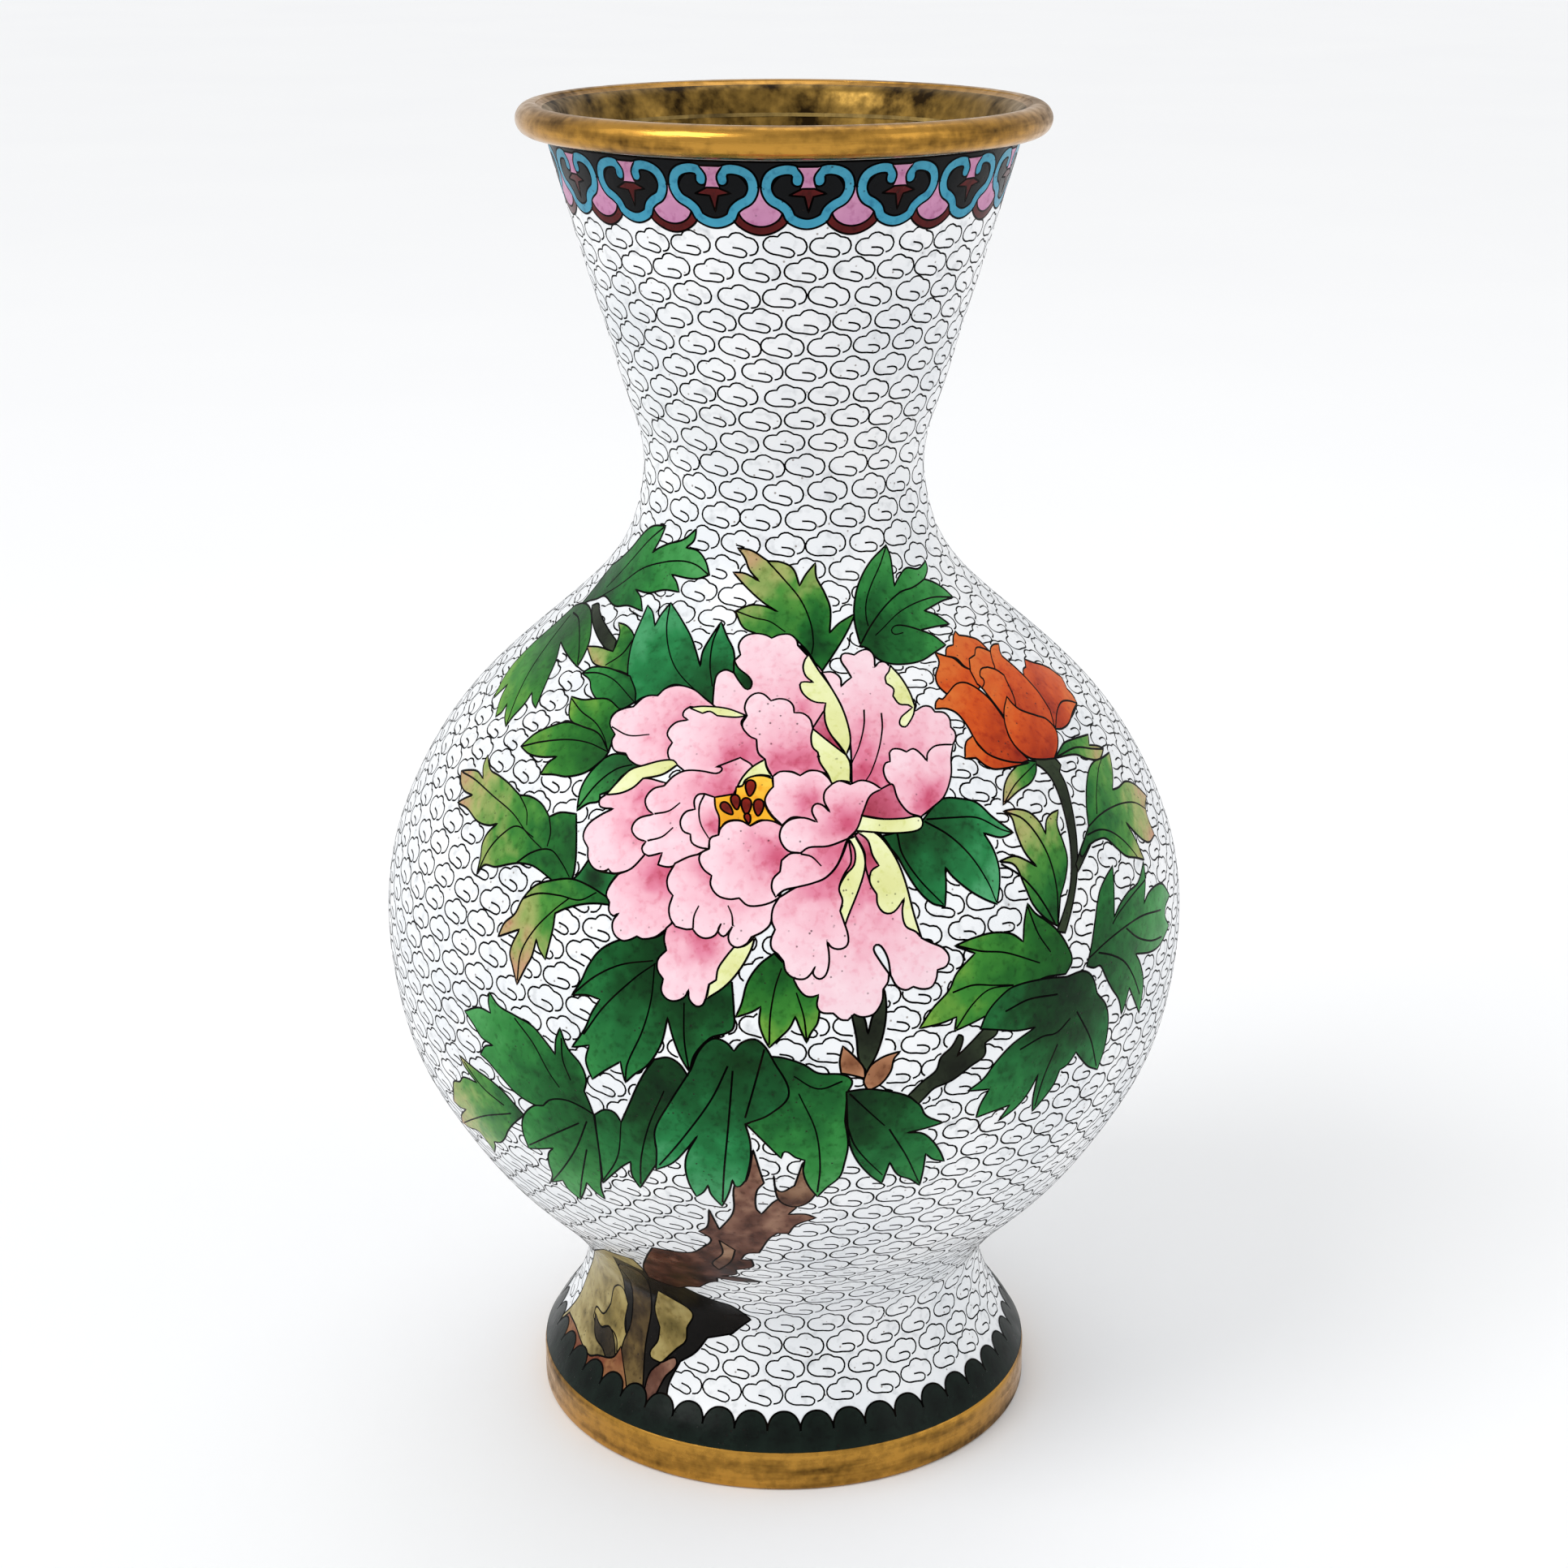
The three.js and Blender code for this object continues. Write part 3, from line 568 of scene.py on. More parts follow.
def peony():
    """The big flower's petals with their turned yellow edges, and its heart."""
    petals = "peony_petals"
    edges = "peony_turned_edges"
    return [
        cell(petals, "petal", "-15,212! -15,216 -14.8,220! -14.2,222.6 -12.4,223.9 -10.3,223.2! "
             "-10.4,226.5! -9.2,227.9! -9.6,230.3 -8.3,232.5 -6,233.3 -3.8,233 -2.6,232.3! -1,233.1 "
             "1.2,233.2 2.6,231.9 2.9,230.5! 5,227.8 8,224 12,214 13,204! 4,203!", (9, 206)),
        cell(petals, "petal", "14,197! 13.8,206 12.3,214.3 10,219.5 8,223.6! 10.3,223.5 11.9,221.9 "
             "12,219.8! 13.1,221 14.3,221.9! 13.3,224 12.1,226.3 12.4,227.8 13.7,227.9 15,227.4! "
             "16.3,228.2 18,228.4 19.4,226.9 19.6,223.8! 20.6,224.9 22,224.8 23,223.7! 27,216 28.6,212! "
             "30.6,212.8 32.4,212.3 33.3,211! 35.6,210.4 36.9,208.8 37,206.8! 38,205.4 37.9,203.8 "
             "37.1,202.7! 30,198! 22,192!", (17, 198), "16.9,213.8 16.8,210 15.6,205 14.1,201.5 "
             "13.9,200.2 | 20.7,212.6 20.8,209 19.9,204 18.1,199 17,197.3"),
        cell(edges, "yellow", "3,230.6! 4.6,229.4 5.3,228! 7.2,224.3 10,219.5 12.3,214.3 13.6,209.3 "
             "13.8,206 12.9,203.5! 11.5,205.8 9.6,208.6 8.6,211.4 8.4,214 8.7,216! 6.2,216.5 4.2,218.2 "
             "3.4,220 3.6,221.3 6.2,221.2! 4.6,222.8 4,225 4.4,226.9 5,227.9! 4.4,229.2", (12, 205)),
        cell(edges, "yellow", "23.2,223.8! 25.6,220.5 27.5,216.6 28.5,213.2! 28.1,211.3 27.2,209.8 "
             "26,208.6 24.8,209.3 25.1,210.9 26.5,212 27.9,212.9! 26.9,213.7 24.9,214.2 23.5,216.3! "
             "23.7,218 22.1,219.6! 21.9,221.2 22.8,222.4"),
        cell(petals, "rose", "5.9,210! 8.4,214.3! 8.6,211.4 9.6,208.6 12.9,203.4! 9.2,206.8", (10, 206)),
        cell(edges, "yellow", "5.9,210! 9.2,206.8 12.9,203.4! 13.7,201.4 13.7,197.2! 11.6,197.6 "
             "9.8,197! 9,199.2 7.4,202 7,204.3! 5.9,205.6 5.6,208", (11, 198)),
        cell(petals, "petal", "-14.5,214.8! -16.6,216.4 -19.2,218.4 -22.6,219 -25.7,217.9 -27.6,215.8! "
             "-29.3,215.6 -31,214.8 -33.4,212.2! -35.4,211.5 -38,209.8 -39,207.2 -37.4,205! "
             "-38.1,203.4 -37.2,201.4 -34.4,201.2! -33.3,199.8 -30.6,199 -26,200.8 -23,201.2! -18,204 "
             "-14,212", (-18, 207), "-38.4,206.6 -34,205.4 -29,206.4"),
        cell(petals, "petal", "-8,213! -8.9,211 -7.1,208.1! -5.7,207.4! -5.3,204.2 -4,202.8! -7,200 "
             "-10,196! -16,196 -22.4,200.2! -24.2,201.4 -24.6,203.3 -23.7,205.2! -24.9,207.2 "
             "-23.2,209.9 -20.3,211! -21.5,211.8 -21.2,213.1 -19.9,214.2! -14,214", (-8, 204)),
        cell(edges, "yellow", "-20.2,213.9! -17,214.6 -12,214.5 -7.7,213! -10,212.5 -14,212.6! "
             "-15.6,213.5 -17.2,212.9!"),
        cell(petals, "petal", "-38.7,191.4! -40.1,190.1 -39.8,188.7 -36.6,188.8! -39.6,187 -42.6,184.5 "
             "-43.7,181.8 -42.4,179.7! -42.2,177.4 -40.6,175.7 -38.3,175.6 -37.3,176.2! -36.5,175.5 "
             "-34.4,175.9 -32,177 -29.8,179.2 -28.5,180.5! -26,186 -25,196! -30,196.3 -32.4,194 "
             "-35,192.4", (-27, 189)),
        cell(edges, "yellow", "-38.6,191.4! -36,194.6 -33,197.8 -30,199.2 -26,200.8 -23.3,201.2 "
             "-22.4,200.3! -25.6,197.8 -30,196.3! -32.2,194 -35,192.4", (-24, 200)),
        cell(petals, "petal", "-14.2,200.5! -13,200.6 -12.9,199.8 -14,199.1 -17,199.4 -20.4,199.2 "
             "-23,197.8 -25.2,195.3! -27.6,194.3 -29.3,191.9 -28.8,189.9 -27.4,188.9! -30.8,187.5 "
             "-32.2,185.2 -31,183.5 -28.9,183! -29.8,181.4 -28.5,180 -25.3,181.1! -26.6,179.7 "
             "-25.8,178.4 -23.8,178.3 -20.5,179.8 -15.5,182.8! -13,188 -10,195.5! -6.5,200.8 -9,203!",
             (-12, 193), "-27.2,189 -24,190 -21.6,192 | -28.6,183.2 -25.4,184.4 -23,186.6"),
        cell(petals, "petal", "-29,180.4! -32,177.1 -35,175.5! -36.7,173.3 -37.7,171 -36.9,169.5! "
             "-37,167.8 -36,166.9 -34.7,167.7! -36.1,165.6 -35.8,163.4 -34,162.2 -32.2,162.6 "
             "-30.6,163.5! -29.4,163.1 -26.7,163.8 -24.6,165.4 -23.2,166.7! -22,172 -21,179! -24,178.3 "
             "-26.2,178.5! -25.3,181.1! -28.3,180.1", (-25, 177)),
        cell(petals, "petal", "14.5,186! 19,186 22.5,181.5 25,175 27,168 28.5,163.4! 30.6,162.2 "
             "33.2,160.8 34.6,158.8 34,157 32,156.5! 31.7,154.6 30.6,153.1 28.6,153 26.7,153.7! "
             "25.1,153.2 23.2,154.2 21.9,156.5! 21.3,160 19.9,162.6 18.8,163 18.3,162.1 19.4,160 "
             "21.5,156.9! 21.3,155.2 20.3,153.8! 20.1,151.4 18.6,149 17,148.4 15.4,148.5 14.3,149.1! "
             "13,147.9! 11.6,148.1 10,149.5! 7.6,149.8 6.7,151.2 7,153.5! 5.9,153.1 4.4,153.3 3,154.7 "
             "2,156.6! 6,168 12,184!", (16, 180)),
        cell(edges, "yellow", "13.3,185! 14.5,182.4 14.3,179.5 12.6,177.6 11.2,174.8 11.9,171.5! "
             "11.3,169.6 12.2,166.8! 13.2,169.5 15.4,174.8 16.6,179 16.3,182 14.6,185.4!"),
        cell(petals, "rose", "14.6,185.6! 16.5,182 16.7,179 17.6,175.7! 18,178.1 19.5,179! 18.2,181.2 "
             "17.2,184.4 15.2,186.2!"),
        cell(edges, "yellow", "15.2,186.2! 17.2,184.4 18.2,181.2 19.5,179! 17.9,178 17.6,175.7 "
             "19,173.2! 19.2,171.1 20.6,169.3 22.6,169.3 24.9,171.9! 24.4,169.3 25.1,166.2 27.3,164.8 "
             "28.5,163.4! 27,168 25,175.5 23,180.4 20,184.8 17.6,186.4"),
        cell(petals, "petal", "-24.3,165.8! -24.7,163.6 -24.2,161.4! -26,159.4 -26.1,157.2 "
             "-24.9,155.5! -25.3,153 -24.1,151.4 -22.3,151.2 -20.4,152.2 -19.5,153.9! -19.4,151.9 "
             "-18,150.5 -16.7,150.8 -15.9,152.4! -15.3,155.2! -13.8,156.2! -13.4,158.5 -11.8,161 "
             "-10.2,163! -12,168 -22,168!", (-17, 167)),
        cell(edges, "yellow", "-10.2,163! -8,163.4 -5.9,165.2! -6.7,162.6 -9,158.5 -12,155 "
             "-15.8,152.2! -15.2,155.2! -13.8,156.2! -13.4,158.5 -11.8,161"),
        cell(petals, "petal", "-22.5,179.2! -24.1,176 -23.9,173.8 -22.9,172.6! -23.7,170 -23.4,167.9 "
             "-22.3,166.4! -20,166 -18.7,166.2! -17.6,165 -16,164.5 -14,165.3 -12.8,167.7! "
             "-13.4,166.1 -12.3,165.1 -11.3,166 -10.5,167.2! -11.3,165.3 -10.9,163.7 -9.5,163 "
             "-7.6,163.8 -6.6,165.2! -4.4,166.3 -2.8,167.9 -2.3,170.5 -1,173.2! -6,180 -14,183 "
             "-17.2,181.6! -19.6,180.8", (-12, 179), "-18.6,166.3 -18.4,168.8 -17.4,171 | "
             "-10.4,167.3 -10.6,169.6 -11.4,171.4"),
        cell(petals, "petal", "-1,173.3! -2.2,171.2 -2.5,168.6 -1.8,166.8! -2.6,164.9 -2.5,163 "
             "-1.2,161.8! -0.1,160.4! 0.4,158.3 2,157 4.2,156.8 5.6,158 6.3,159.3! 5.9,157.8 "
             "7.1,156.7 8.4,157.4 9.1,159.6 9.1,162 8.7,164.3! 9.7,163 11.5,162.6 12.9,163.4 13,165.4 "
             "12.1,168.3! 11.4,170.3! 11.9,172.4 11.2,174.8 12.2,177.6 13.7,180.2 13.2,185! "
             "11.9,181.6 10.2,178.7 7.6,176.7 3,175.6", (9, 180)),
        cell(petals, "petal", "22.2,203! 22.9,203.8 24.6,203.6 26,202.8! 27.6,203.3 29.4,201.8 "
             "30.7,200! 30.9,201.8 32.6,203.1 35,203.1 37.2,202.7! 36.5,200 36.2,196 34.3,191.8 "
             "31.6,189.9 28.8,188.2! 26,189.5 23.8,192.6 23,195.4! 21.5,196.9 20.8,199.2 21.3,200.8 "
             "22.3,201!", (31, 191)),
        cell(petals, "rose", "15.8,189.8! 16.4,191.8 17.8,193.9 20.3,195.2! 22.5,196 23,195.4! "
             "23.8,192.6 26,189.5 28.3,188.3! 22,188.4", (18, 190)),
        cell(edges, "yellow", "15.6,189.8! 20,188.7 25,188.3 28.4,188.3 29.2,187 28.7,185.8 26.8,185.3 "
             "22,185.5 18,186.1 14.7,186.6! 15.1,188"),
        cell(petals, "petal", "-3.9,202.8! -5.3,204.3 -5.7,207.4! -7.2,208.2 -8.7,210.6 -7.7,213! "
             "-8.2,214.8 -7.6,217 -6,218.5 -4.3,218.4 -2.7,216.8! -1,217.3 0.8,216.9 1.9,215.6 "
             "2.1,213.9! 3.9,213.7 5.4,212.3 6,210! 5.6,208 5.9,205.6 7,204.3! 7.3,202.2 8.9,199.3! "
             "7,200 5.2,200.2 3.3,199.1! 1.6,200 -0.9,199.9 -2.4,198.9! -3.5,201", (3, 202)),
        cell(edges, "yellow", "-9.9,195.6! -8.6,198.4 -6.6,200.9 -3.9,202.8! -3.6,201 -2.6,199! "
             "-5,199.2 -7.2,198.4 -8.4,196.7! -9.7,196.3!"),
        cell("peony_heart", "heart", "-14.3,193.8! -10,194.8! -9.8,196.3! -8.6,196.6 -7.9,198 "
             "-6.2,198.9 -4,199 -2.4,198.4! -2.3,196.2 -3.9,193.6 -3,190.8 -0.5,188.2! -4.5,189.3 "
             "-7,188! -9,189.1 -12,188.5 -13.4,185.8! -14,187.2 -13.4,189.6 -14.1,191.6", (-10, 188)),
        cell(petals, "petal", "-16.4,194.4! -17.8,194.1 -18.6,192.7 -18.4,190.9! -20.4,190.1 "
             "-21.5,188 -20.9,186.1 -19.3,185.5! -19,183.8 -17.2,182.9 -15.5,182.8! -15.2,184.8! "
             "-13.4,185.8! -13.3,189.5 -14.1,191.6 -14.3,193.8!", (-14, 188),
             "-16.4,194.3 -17.5,191.5 -17.2,188 -15.4,184.9"),
        cell(petals, "petal", "-0.4,188.2! -2.3,189.1 -4.5,189.2 -6.9,188! -8.8,189 -11.4,188.7 "
             "-13,187.2 -13.4,185.8! -15.1,185 -15.3,182.8! -17,181.8 -17.4,180.3 -16.4,178.4 "
             "-14.8,177.3! -15,175.4 -13.6,173.4 -11.2,172.7 -9.1,173! -7.4,171.6 -5,171.6 -2.6,172.3 "
             "-1.1,173.2! 1,178 3.4,182.4!", (-1, 182)),
        cell(petals, "petal", "3.4,182.4! 1.3,182.3 -0.5,180.9! -0.8,178.6! -2.2,177.1 -2.5,175.2 "
             "-1.7,173.4! 0,174.8 2.6,175.4 6,176.2 8.6,177.3 11,180 12.9,184.9! 9,183.7 4.5,183.6",
             (11, 183), "3.4,182.2 5.6,181.6 7.6,179.6"),
        cell(petals, "petal", "-2.3,198.9! -0.8,200 1.6,199.9 3.3,199.1! 5.1,200.1 7.4,199.9 9.1,198.4 "
             "9.9,197! 8.4,195.4 8.2,193.4 9.4,190.8! 7.9,192.4 6.4,192.7 5.7,191.2 6.8,188.8! 2,190 "
             "-0.4,188.3! -2.7,190.7 -3.9,193.4 -3.2,195.4 -2.2,196.6!", (5, 193)),
        cell(petals, "petal", "9.9,197! 11.4,197.6 13.7,196.7! 15.9,197.4 18.2,196.7 20.3,195.1! "
             "17.9,193.9 16.4,190.7 15,187 13,185! 9,183.7 5,183.5 3.4,182.4! 0.8,182.9 -0.8,185.3 "
             "-0.5,187.7 1.2,189.4 4,189.8 6.8,188.8! 5.7,191.2 6.4,192.7 7.9,192.4 9.4,190.8! "
             "8.2,193.4 8.4,195.4", (13, 188)),
    ]


def stamens():
    """Dark drops in the heart: middle along and up, tilt in degrees and size."""
    drops = [(-6.9, 196.2, -5, 1.0), (-7.7, 192.2, 0, 1.0), (-9.9, 193, 10, 0.9),
             (-11.7, 191.5, 45, 0.9), (-5.2, 192, -3, 1.0), (-7.4, 189.6, 15, 0.6)]
    cells = []
    for along, up, tilt, size in drops:
        turn = math.radians(tilt)
        angles = np.linspace(0, 2 * math.pi, 20, endpoint=False)
        wide = 1.0 * size * np.sin(angles) * (1 + 0.35 * np.cos(angles))
        tall = 1.8 * size * np.cos(angles)
        outline = np.stack([along + wide * math.cos(turn) - tall * math.sin(turn),
                            up + wide * math.sin(turn) + tall * math.cos(turn)], -1)
        text = " ".join(f"{x:.2f},{y:.2f}" for x, y in outline)
        cells.append(cell("peony_stamens", "stamen", text, step=0.4))
    return cells


def curled_leaf_tip():
    """The tip of the leaf behind the flower, which curls over the top petal."""
    return [cell("leaves_left", "dark", "-10.6,226.6! -9.6,224.6 -7.4,222.6 -6.7,220.9 -7.6,219.4 "
                 "-9.2,221 -10.6,223.4!", (-7, 221))]


def collar_unit():
    """One of the sixteen collar heads: a blue cloud head on black, and half-flowers between heads."""
    half = COLLAR_PITCH / 2
    scroll = ("-2.2,334.4! -2.3,336.2 -4.6,336.8 -7.4,335.6 -8.3,333 -7.4,330.6 -5.4,329.3 -4.2,328.2 "
              "-3.2,326.4 0,325.3 3.2,326.4 4.2,328.2 5.4,329.3 7.4,330.6 8.3,333 7.4,335.6 4.6,336.8 "
              "2.3,336.2 2.2,334.4!")
    middle = curve(scroll, 0.5, closed=False)
    way = np.gradient(middle, axis=0)
    side = np.stack([-way[:, 1], way[:, 0]], -1) / np.hypot(*way.T)[:, None]
    angles = np.radians(np.arange(20, 180, 20))[:, None]
    downwards = (0.0, -1.0)
    last_cap, first_cap = (end + SCROLL_HALF * (np.cos(angles) * out + np.sin(angles) * downwards)
                           for end, out in ((middle[-1], side[-1]), (middle[0], -side[0])))
    band = np.concatenate([middle + side * SCROLL_HALF, last_cap,
                           (middle - side * SCROLL_HALF)[::-1], first_cap])
    head = dict(cell("collar_scrolls", "sky", scroll), outline=band, low=band.min(axis=0),
                high=band.max(axis=0))
    cells = [cell("collar_field", "night", f"{-half},331! {half},331! {half},338.4! {-half},338.4!")]
    for x in (-half, half):
        cells.append(cell("collar_flowers", "maroon", f"{x - 6.1},328.6! {x - 5},325 {x},322.9 "
                          f"{x + 5},325 {x + 6.1},328.6! {x},330"))
        cells.append(cell("collar_flowers", "pink", f"{x - 4.4},328.4 {x - 3.4},325.9 {x},324.7 "
                          f"{x + 3.4},325.9 {x + 4.4},328.4 {x},333.4!", (x, 325)))
    cells.append(cell("collar_field", "night", "-7.2,333 -6.2,330.6 -4.2,329.6 -2.9,327 0,326 "
                      "2.9,327 4.2,329.6 6.2,330.6 7.2,333 5,335.8 0,336.8 -5,335.8"))
    cells.append(cell("collar_flowers", "pink", "-2.4,337.4! 2.4,337.4! 1.1,335.2 1.6,332.8! -1.6,332.8! "
                      "-1.1,335.2"))
    cells.append(cell("collar_flowers", "maroon", "-3.8,331.4! -1.2,332.8! 1.2,332.8! 3.8,331.7! "
                      "1.1,331.1! 0.2,327.7! -0.7,331.1!"))
    return cells[:-2] + [head] + cells[-2:]


def border_unit():
    """One scallop of the dark border round the foot."""
    half = BORDER_PITCH / 2
    rim = [(0.97, 16.6), (0.74, 18.5), (0.4, 19.5)]
    right = " ".join(f"{half * part},{up}" for part, up in rim)
    left = " ".join(f"{-half * part},{up}" for part, up in reversed(rim))
    return [cell("foot_border", "bronze_green", f"{-half},{BORDER_BOTTOM}! {half},{BORDER_BOTTOM}! "
                 f"{half},{BORDER_NOTCH}! {right} 0,{BORDER_TOP} {left} {-half},{BORDER_NOTCH}!")]


# One cloud, drawn round its own middle: an open line that curls in at its start.
CLOUD = ("-0.9,-0.2! 1,-0.5 1.9,-1.3 1.2,-2.2 -1,-1.9 -2.8,-1.6 -4.1,-0.6 -4.2,0.7 -3.2,1.8 -1.6,1.9! "
         "-0.9,2.7 0.6,2.9 1.9,2.1! 3.4,1.7 4.2,0.2 3.6,-1.3 2.4,-1.7!")


# ---------------------------------------------------------------- meshes

def make_mesh(name, points, faces, colours=None):
    """A smooth-shaded mesh object from arrays, with a colour for each corner of each face."""
    mesh = bpy.data.meshes.new(name)
    mesh.from_pydata(points.tolist(), [], faces.tolist())
    mesh.polygons.foreach_set("use_smooth", np.ones(len(faces), bool))
    mesh.set_sharp_from_angle(angle=math.radians(40))
    if colours is not None:
        layer = mesh.color_attributes.new("tint", "FLOAT_COLOR", "CORNER")
        alpha = np.ones((len(colours), 1))
        layer.data.foreach_set("color", np.hstack([colours, alpha]).ravel())
    piece = bpy.data.objects.new(name, mesh)
    bpy.context.scene.collection.objects.link(piece)
    return piece


def settle(piece, material, slot, *replaced):
    """Gives a piece its material and its body, and hides the CAD nodes that it stands for. The slot is not
    used.
    """
    piece.data.materials.append(material)
    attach(piece, "root")
    if replaced:
        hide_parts(*replaced)


def turned(name, section):
    """A ring turned from a closed section of [radius, height] points in millimetres."""
    section = np.array(section, float)
    r, z = section.T
    if np.sum(r * np.roll(z, -1) - np.roll(r, -1) * z) < 0:
        section = section[::-1]
    r, z = section.T
    count = len(section)
    angles = np.arange(SIDES) * 2 * math.pi / SIDES
    points = np.stack([np.outer(np.sin(angles), r), -np.outer(np.cos(angles), r),
                       np.broadcast_to(z, (SIDES, count))], -1).reshape(-1, 3)
    around, along = np.meshgrid(np.arange(SIDES), np.arange(count), indexing="ij")
    next_around, next_along = (around + 1) % SIDES, (along + 1) % count
    faces = np.stack([around * count + along, next_around * count + along,
                      next_around * count + next_along, around * count + next_along], -1)
    return make_mesh(name, points * MM, faces.reshape(-1, 4))


def layer(name, bottom, top, outside, thickness):
    """A turned layer of the wall between two heights, outside millimetres in from the polished face."""
    outer = np.linspace(bottom, top, max(3, round((top - bottom) / ROW)))
    inner = outer[::-1]
    section = [(radius_at(z) - outside, z) for z in outer]
    section += [(radius_at(z) - outside - thickness, z) for z in inner]
    return turned(name, section)


def shown_sides(cells, number, half):
    """Which sides of a cell's outline no later cell covers."""
    outline = cells[number]["outline"]
    middles = (outline + np.roll(outline, -1, axis=0)) / 2
    shown = topmost(middles, cells, number + 1) < 0
    return shown if half is None else shown & (np.abs(middles[:, 0]) < half - 0.01)


def tessellate(cells, spacing, half=None):
    """Triangles over all the cells, and the number of the cell on top at each."""
    points, edges = [], []
    for number, part in enumerate(cells):
        shown = shown_sides(cells, number, half)
        near = shown | np.roll(shown, 1) | np.roll(shown, -1)
        place_of = {}
        count = len(part["outline"])
        for i in np.flatnonzero(near):
            pair = []
            for k in (i, (i + 1) % count):
                if k not in place_of:
                    place_of[k] = len(points)
                    points.append(part["outline"][k])
                pair.append(place_of[k])
            edges.append(tuple(pair))
    low = np.min([part["low"] for part in cells], axis=0)
    high = np.max([part["high"] for part in cells], axis=0)
    if half is not None:
        low[0], high[0] = -half, half
        for x in (-half, half):
            heights = np.arange(low[1], high[1], spacing)
            start = len(points)
            points += [np.array([x, y]) for y in heights]
            edges += [(start + k, start + k + 1) for k in range(len(heights) - 1)]
    across, up = np.meshgrid(np.arange(low[0] + spacing / 2, high[0], spacing),
                             np.arange(low[1] + spacing / 2, high[1], spacing))
    across[1::2] += spacing / 2
    grid = np.stack([across.ravel(), up.ravel()], -1)
    points += list(grid[(topmost(grid, cells) >= 0) & (grid[:, 0] < high[0])])
    result = delaunay_2d_cdt([Vector(point) for point in points], edges, [], 0, 1e-4)
    corners = np.array([tuple(point) for point in result[0]])
    triangles = np.array([face for face in result[2] if len(face) == 3])
    middles = corners[triangles].mean(axis=1)
    owners = topmost(middles, cells)
    kept = owners >= 0
    if half is not None:
        kept &= np.abs(middles[:, 0]) < half
    return corners, triangles[kept], owners[kept]


def around(points, faces, copies):
    """Copies of a mesh turned evenly round the vase."""
    all_points, all_faces = [], []
    for k in range(copies):
        angle = 2 * math.pi * k / copies
        turn = np.array([[math.cos(angle), -math.sin(angle), 0], [math.sin(angle), math.cos(angle), 0],
                         [0, 0, 1]])
        all_points.append(points @ turn.T)
        all_faces.append(faces + k * len(points))
    return np.concatenate(all_points), np.concatenate(all_faces)


def cell_pieces(cells, spacing, face=INLAY, turn=0.0, round_radius=None, copies=1, half=None):
    """One mesh for each piece named in the cells, by name."""
    corners, triangles, owners = tessellate(cells, spacing, half)
    tints = np.zeros((len(triangles), 3, 3))
    mottled = grain(corners)
    for number in np.unique(owners):
        part = cells[number]
        own = owners == number
        t = np.hypot(*(corners[triangles[own]] - part["root"]).transpose(2, 0, 1)) / part["reach"]
        t += MOTTLE.get(part["tint"], PLAIN_MOTTLE) * mottled[triangles[own]]
        tints[own] = tint_at(part["tint"], np.clip(t, 0, 1))
    pieces = {}
    names = np.array([cells[number]["piece"] for number in owners])
    for name in dict.fromkeys(part["piece"] for part in cells):
        own = names == name
        if not own.any():
            continue
        used, index = np.unique(triangles[own], return_inverse=True)
        points = place(corners[used, 0], corners[used, 1], face, turn, round_radius)
        points, faces = around(points, index.reshape(-1, 3), copies)
        colours = np.tile(tints[own].reshape(-1, 3), (copies, 1))
        pieces[name] = make_mesh(name, points, faces, colours)
    return pieces


class Wires:
    """Wires that stand a little proud of the enamel, gathered into one mesh."""

    def __init__(self, face):
        self.face = face
        self.along, self.up, self.turn, self.faces = [], [], [], []
        self.count = 0

    def add(self, line, width=WIRE_WIDTH, turn=0.0):
        """A wire along a line, with its ridge in the middle."""
        way = np.gradient(line, axis=0)
        side = np.stack([-way[:, 1], way[:, 0]], -1) / np.maximum(np.hypot(*way.T), 1e-9)[:, None]
        half = side * np.reshape(width, (-1, 1)) / 2
        rows = np.stack([line + half, line, line - half], axis=1)
        n = len(line)
        self.along.append(rows[..., 0].ravel())
        self.up.append(rows[..., 1].ravel())
        self.turn.append(np.full(3 * n, turn))
        start = self.count + 3 * np.arange(n - 1)[:, None]
        for k in (0, 1):
            self.faces.append(start + np.array([k, k + 1, k + 4, k + 3]))
        self.count += 3 * n

    def mesh(self, name, round_radius=None, copies=1):
        """All the wires as one object."""
        edge = self.face - WIRE_SUNK
        lift = np.tile([edge, self.face + WIRE_PROUD, edge], self.count // 3)
        along, up, turn = (np.concatenate(part) for part in (self.along, self.up, self.turn))
        points = place(along, up, lift, turn, round_radius)
        points, faces = around(points, np.concatenate(self.faces), copies)
        return make_mesh(name, points, faces)


def wire_cells(wires, cells, turn=0.0, half=None):
    """Lays the wires round every cell where it shows, and the wires inside it."""
    for number, part in enumerate(cells):
        outline = part["outline"]
        shown = shown_sides(cells, number, half)
        if shown.all():
            wires.add(np.concatenate([outline, outline[:2]]), turn=turn)
            for line in part["veins"]:
                wires.add(line, VEIN_WIDTH, turn)
            continue
        first = int(np.flatnonzero(~shown)[0]) + 1
        loop = np.roll(outline, -first, axis=0)
        for start, end in runs(np.roll(shown, -first)):
            wires.add(np.take(loop, range(start, end + 1), axis=0, mode="wrap"), turn=turn)
        for line in part["veins"]:
            for start, end in runs(topmost(line, cells) == number):
                if end - start > SHORT_VEIN:
                    width = VEIN_WIDTH * np.linspace(1.0, VEIN_TIP, end - start)
                    wires.add(line[start:end], width, turn)


def moved(cells, along, prefix):
    """The same cells shifted round the wall, as pieces of their own."""
    shift = np.array([along, 0.0])
    return [dict(part, piece=prefix + part["piece"], outline=part["outline"] + shift,
                 low=part["low"] + shift, high=part["high"] + shift, root=part["root"] + shift,
                 veins=[line + shift for line in part["veins"]]) for part in cells]


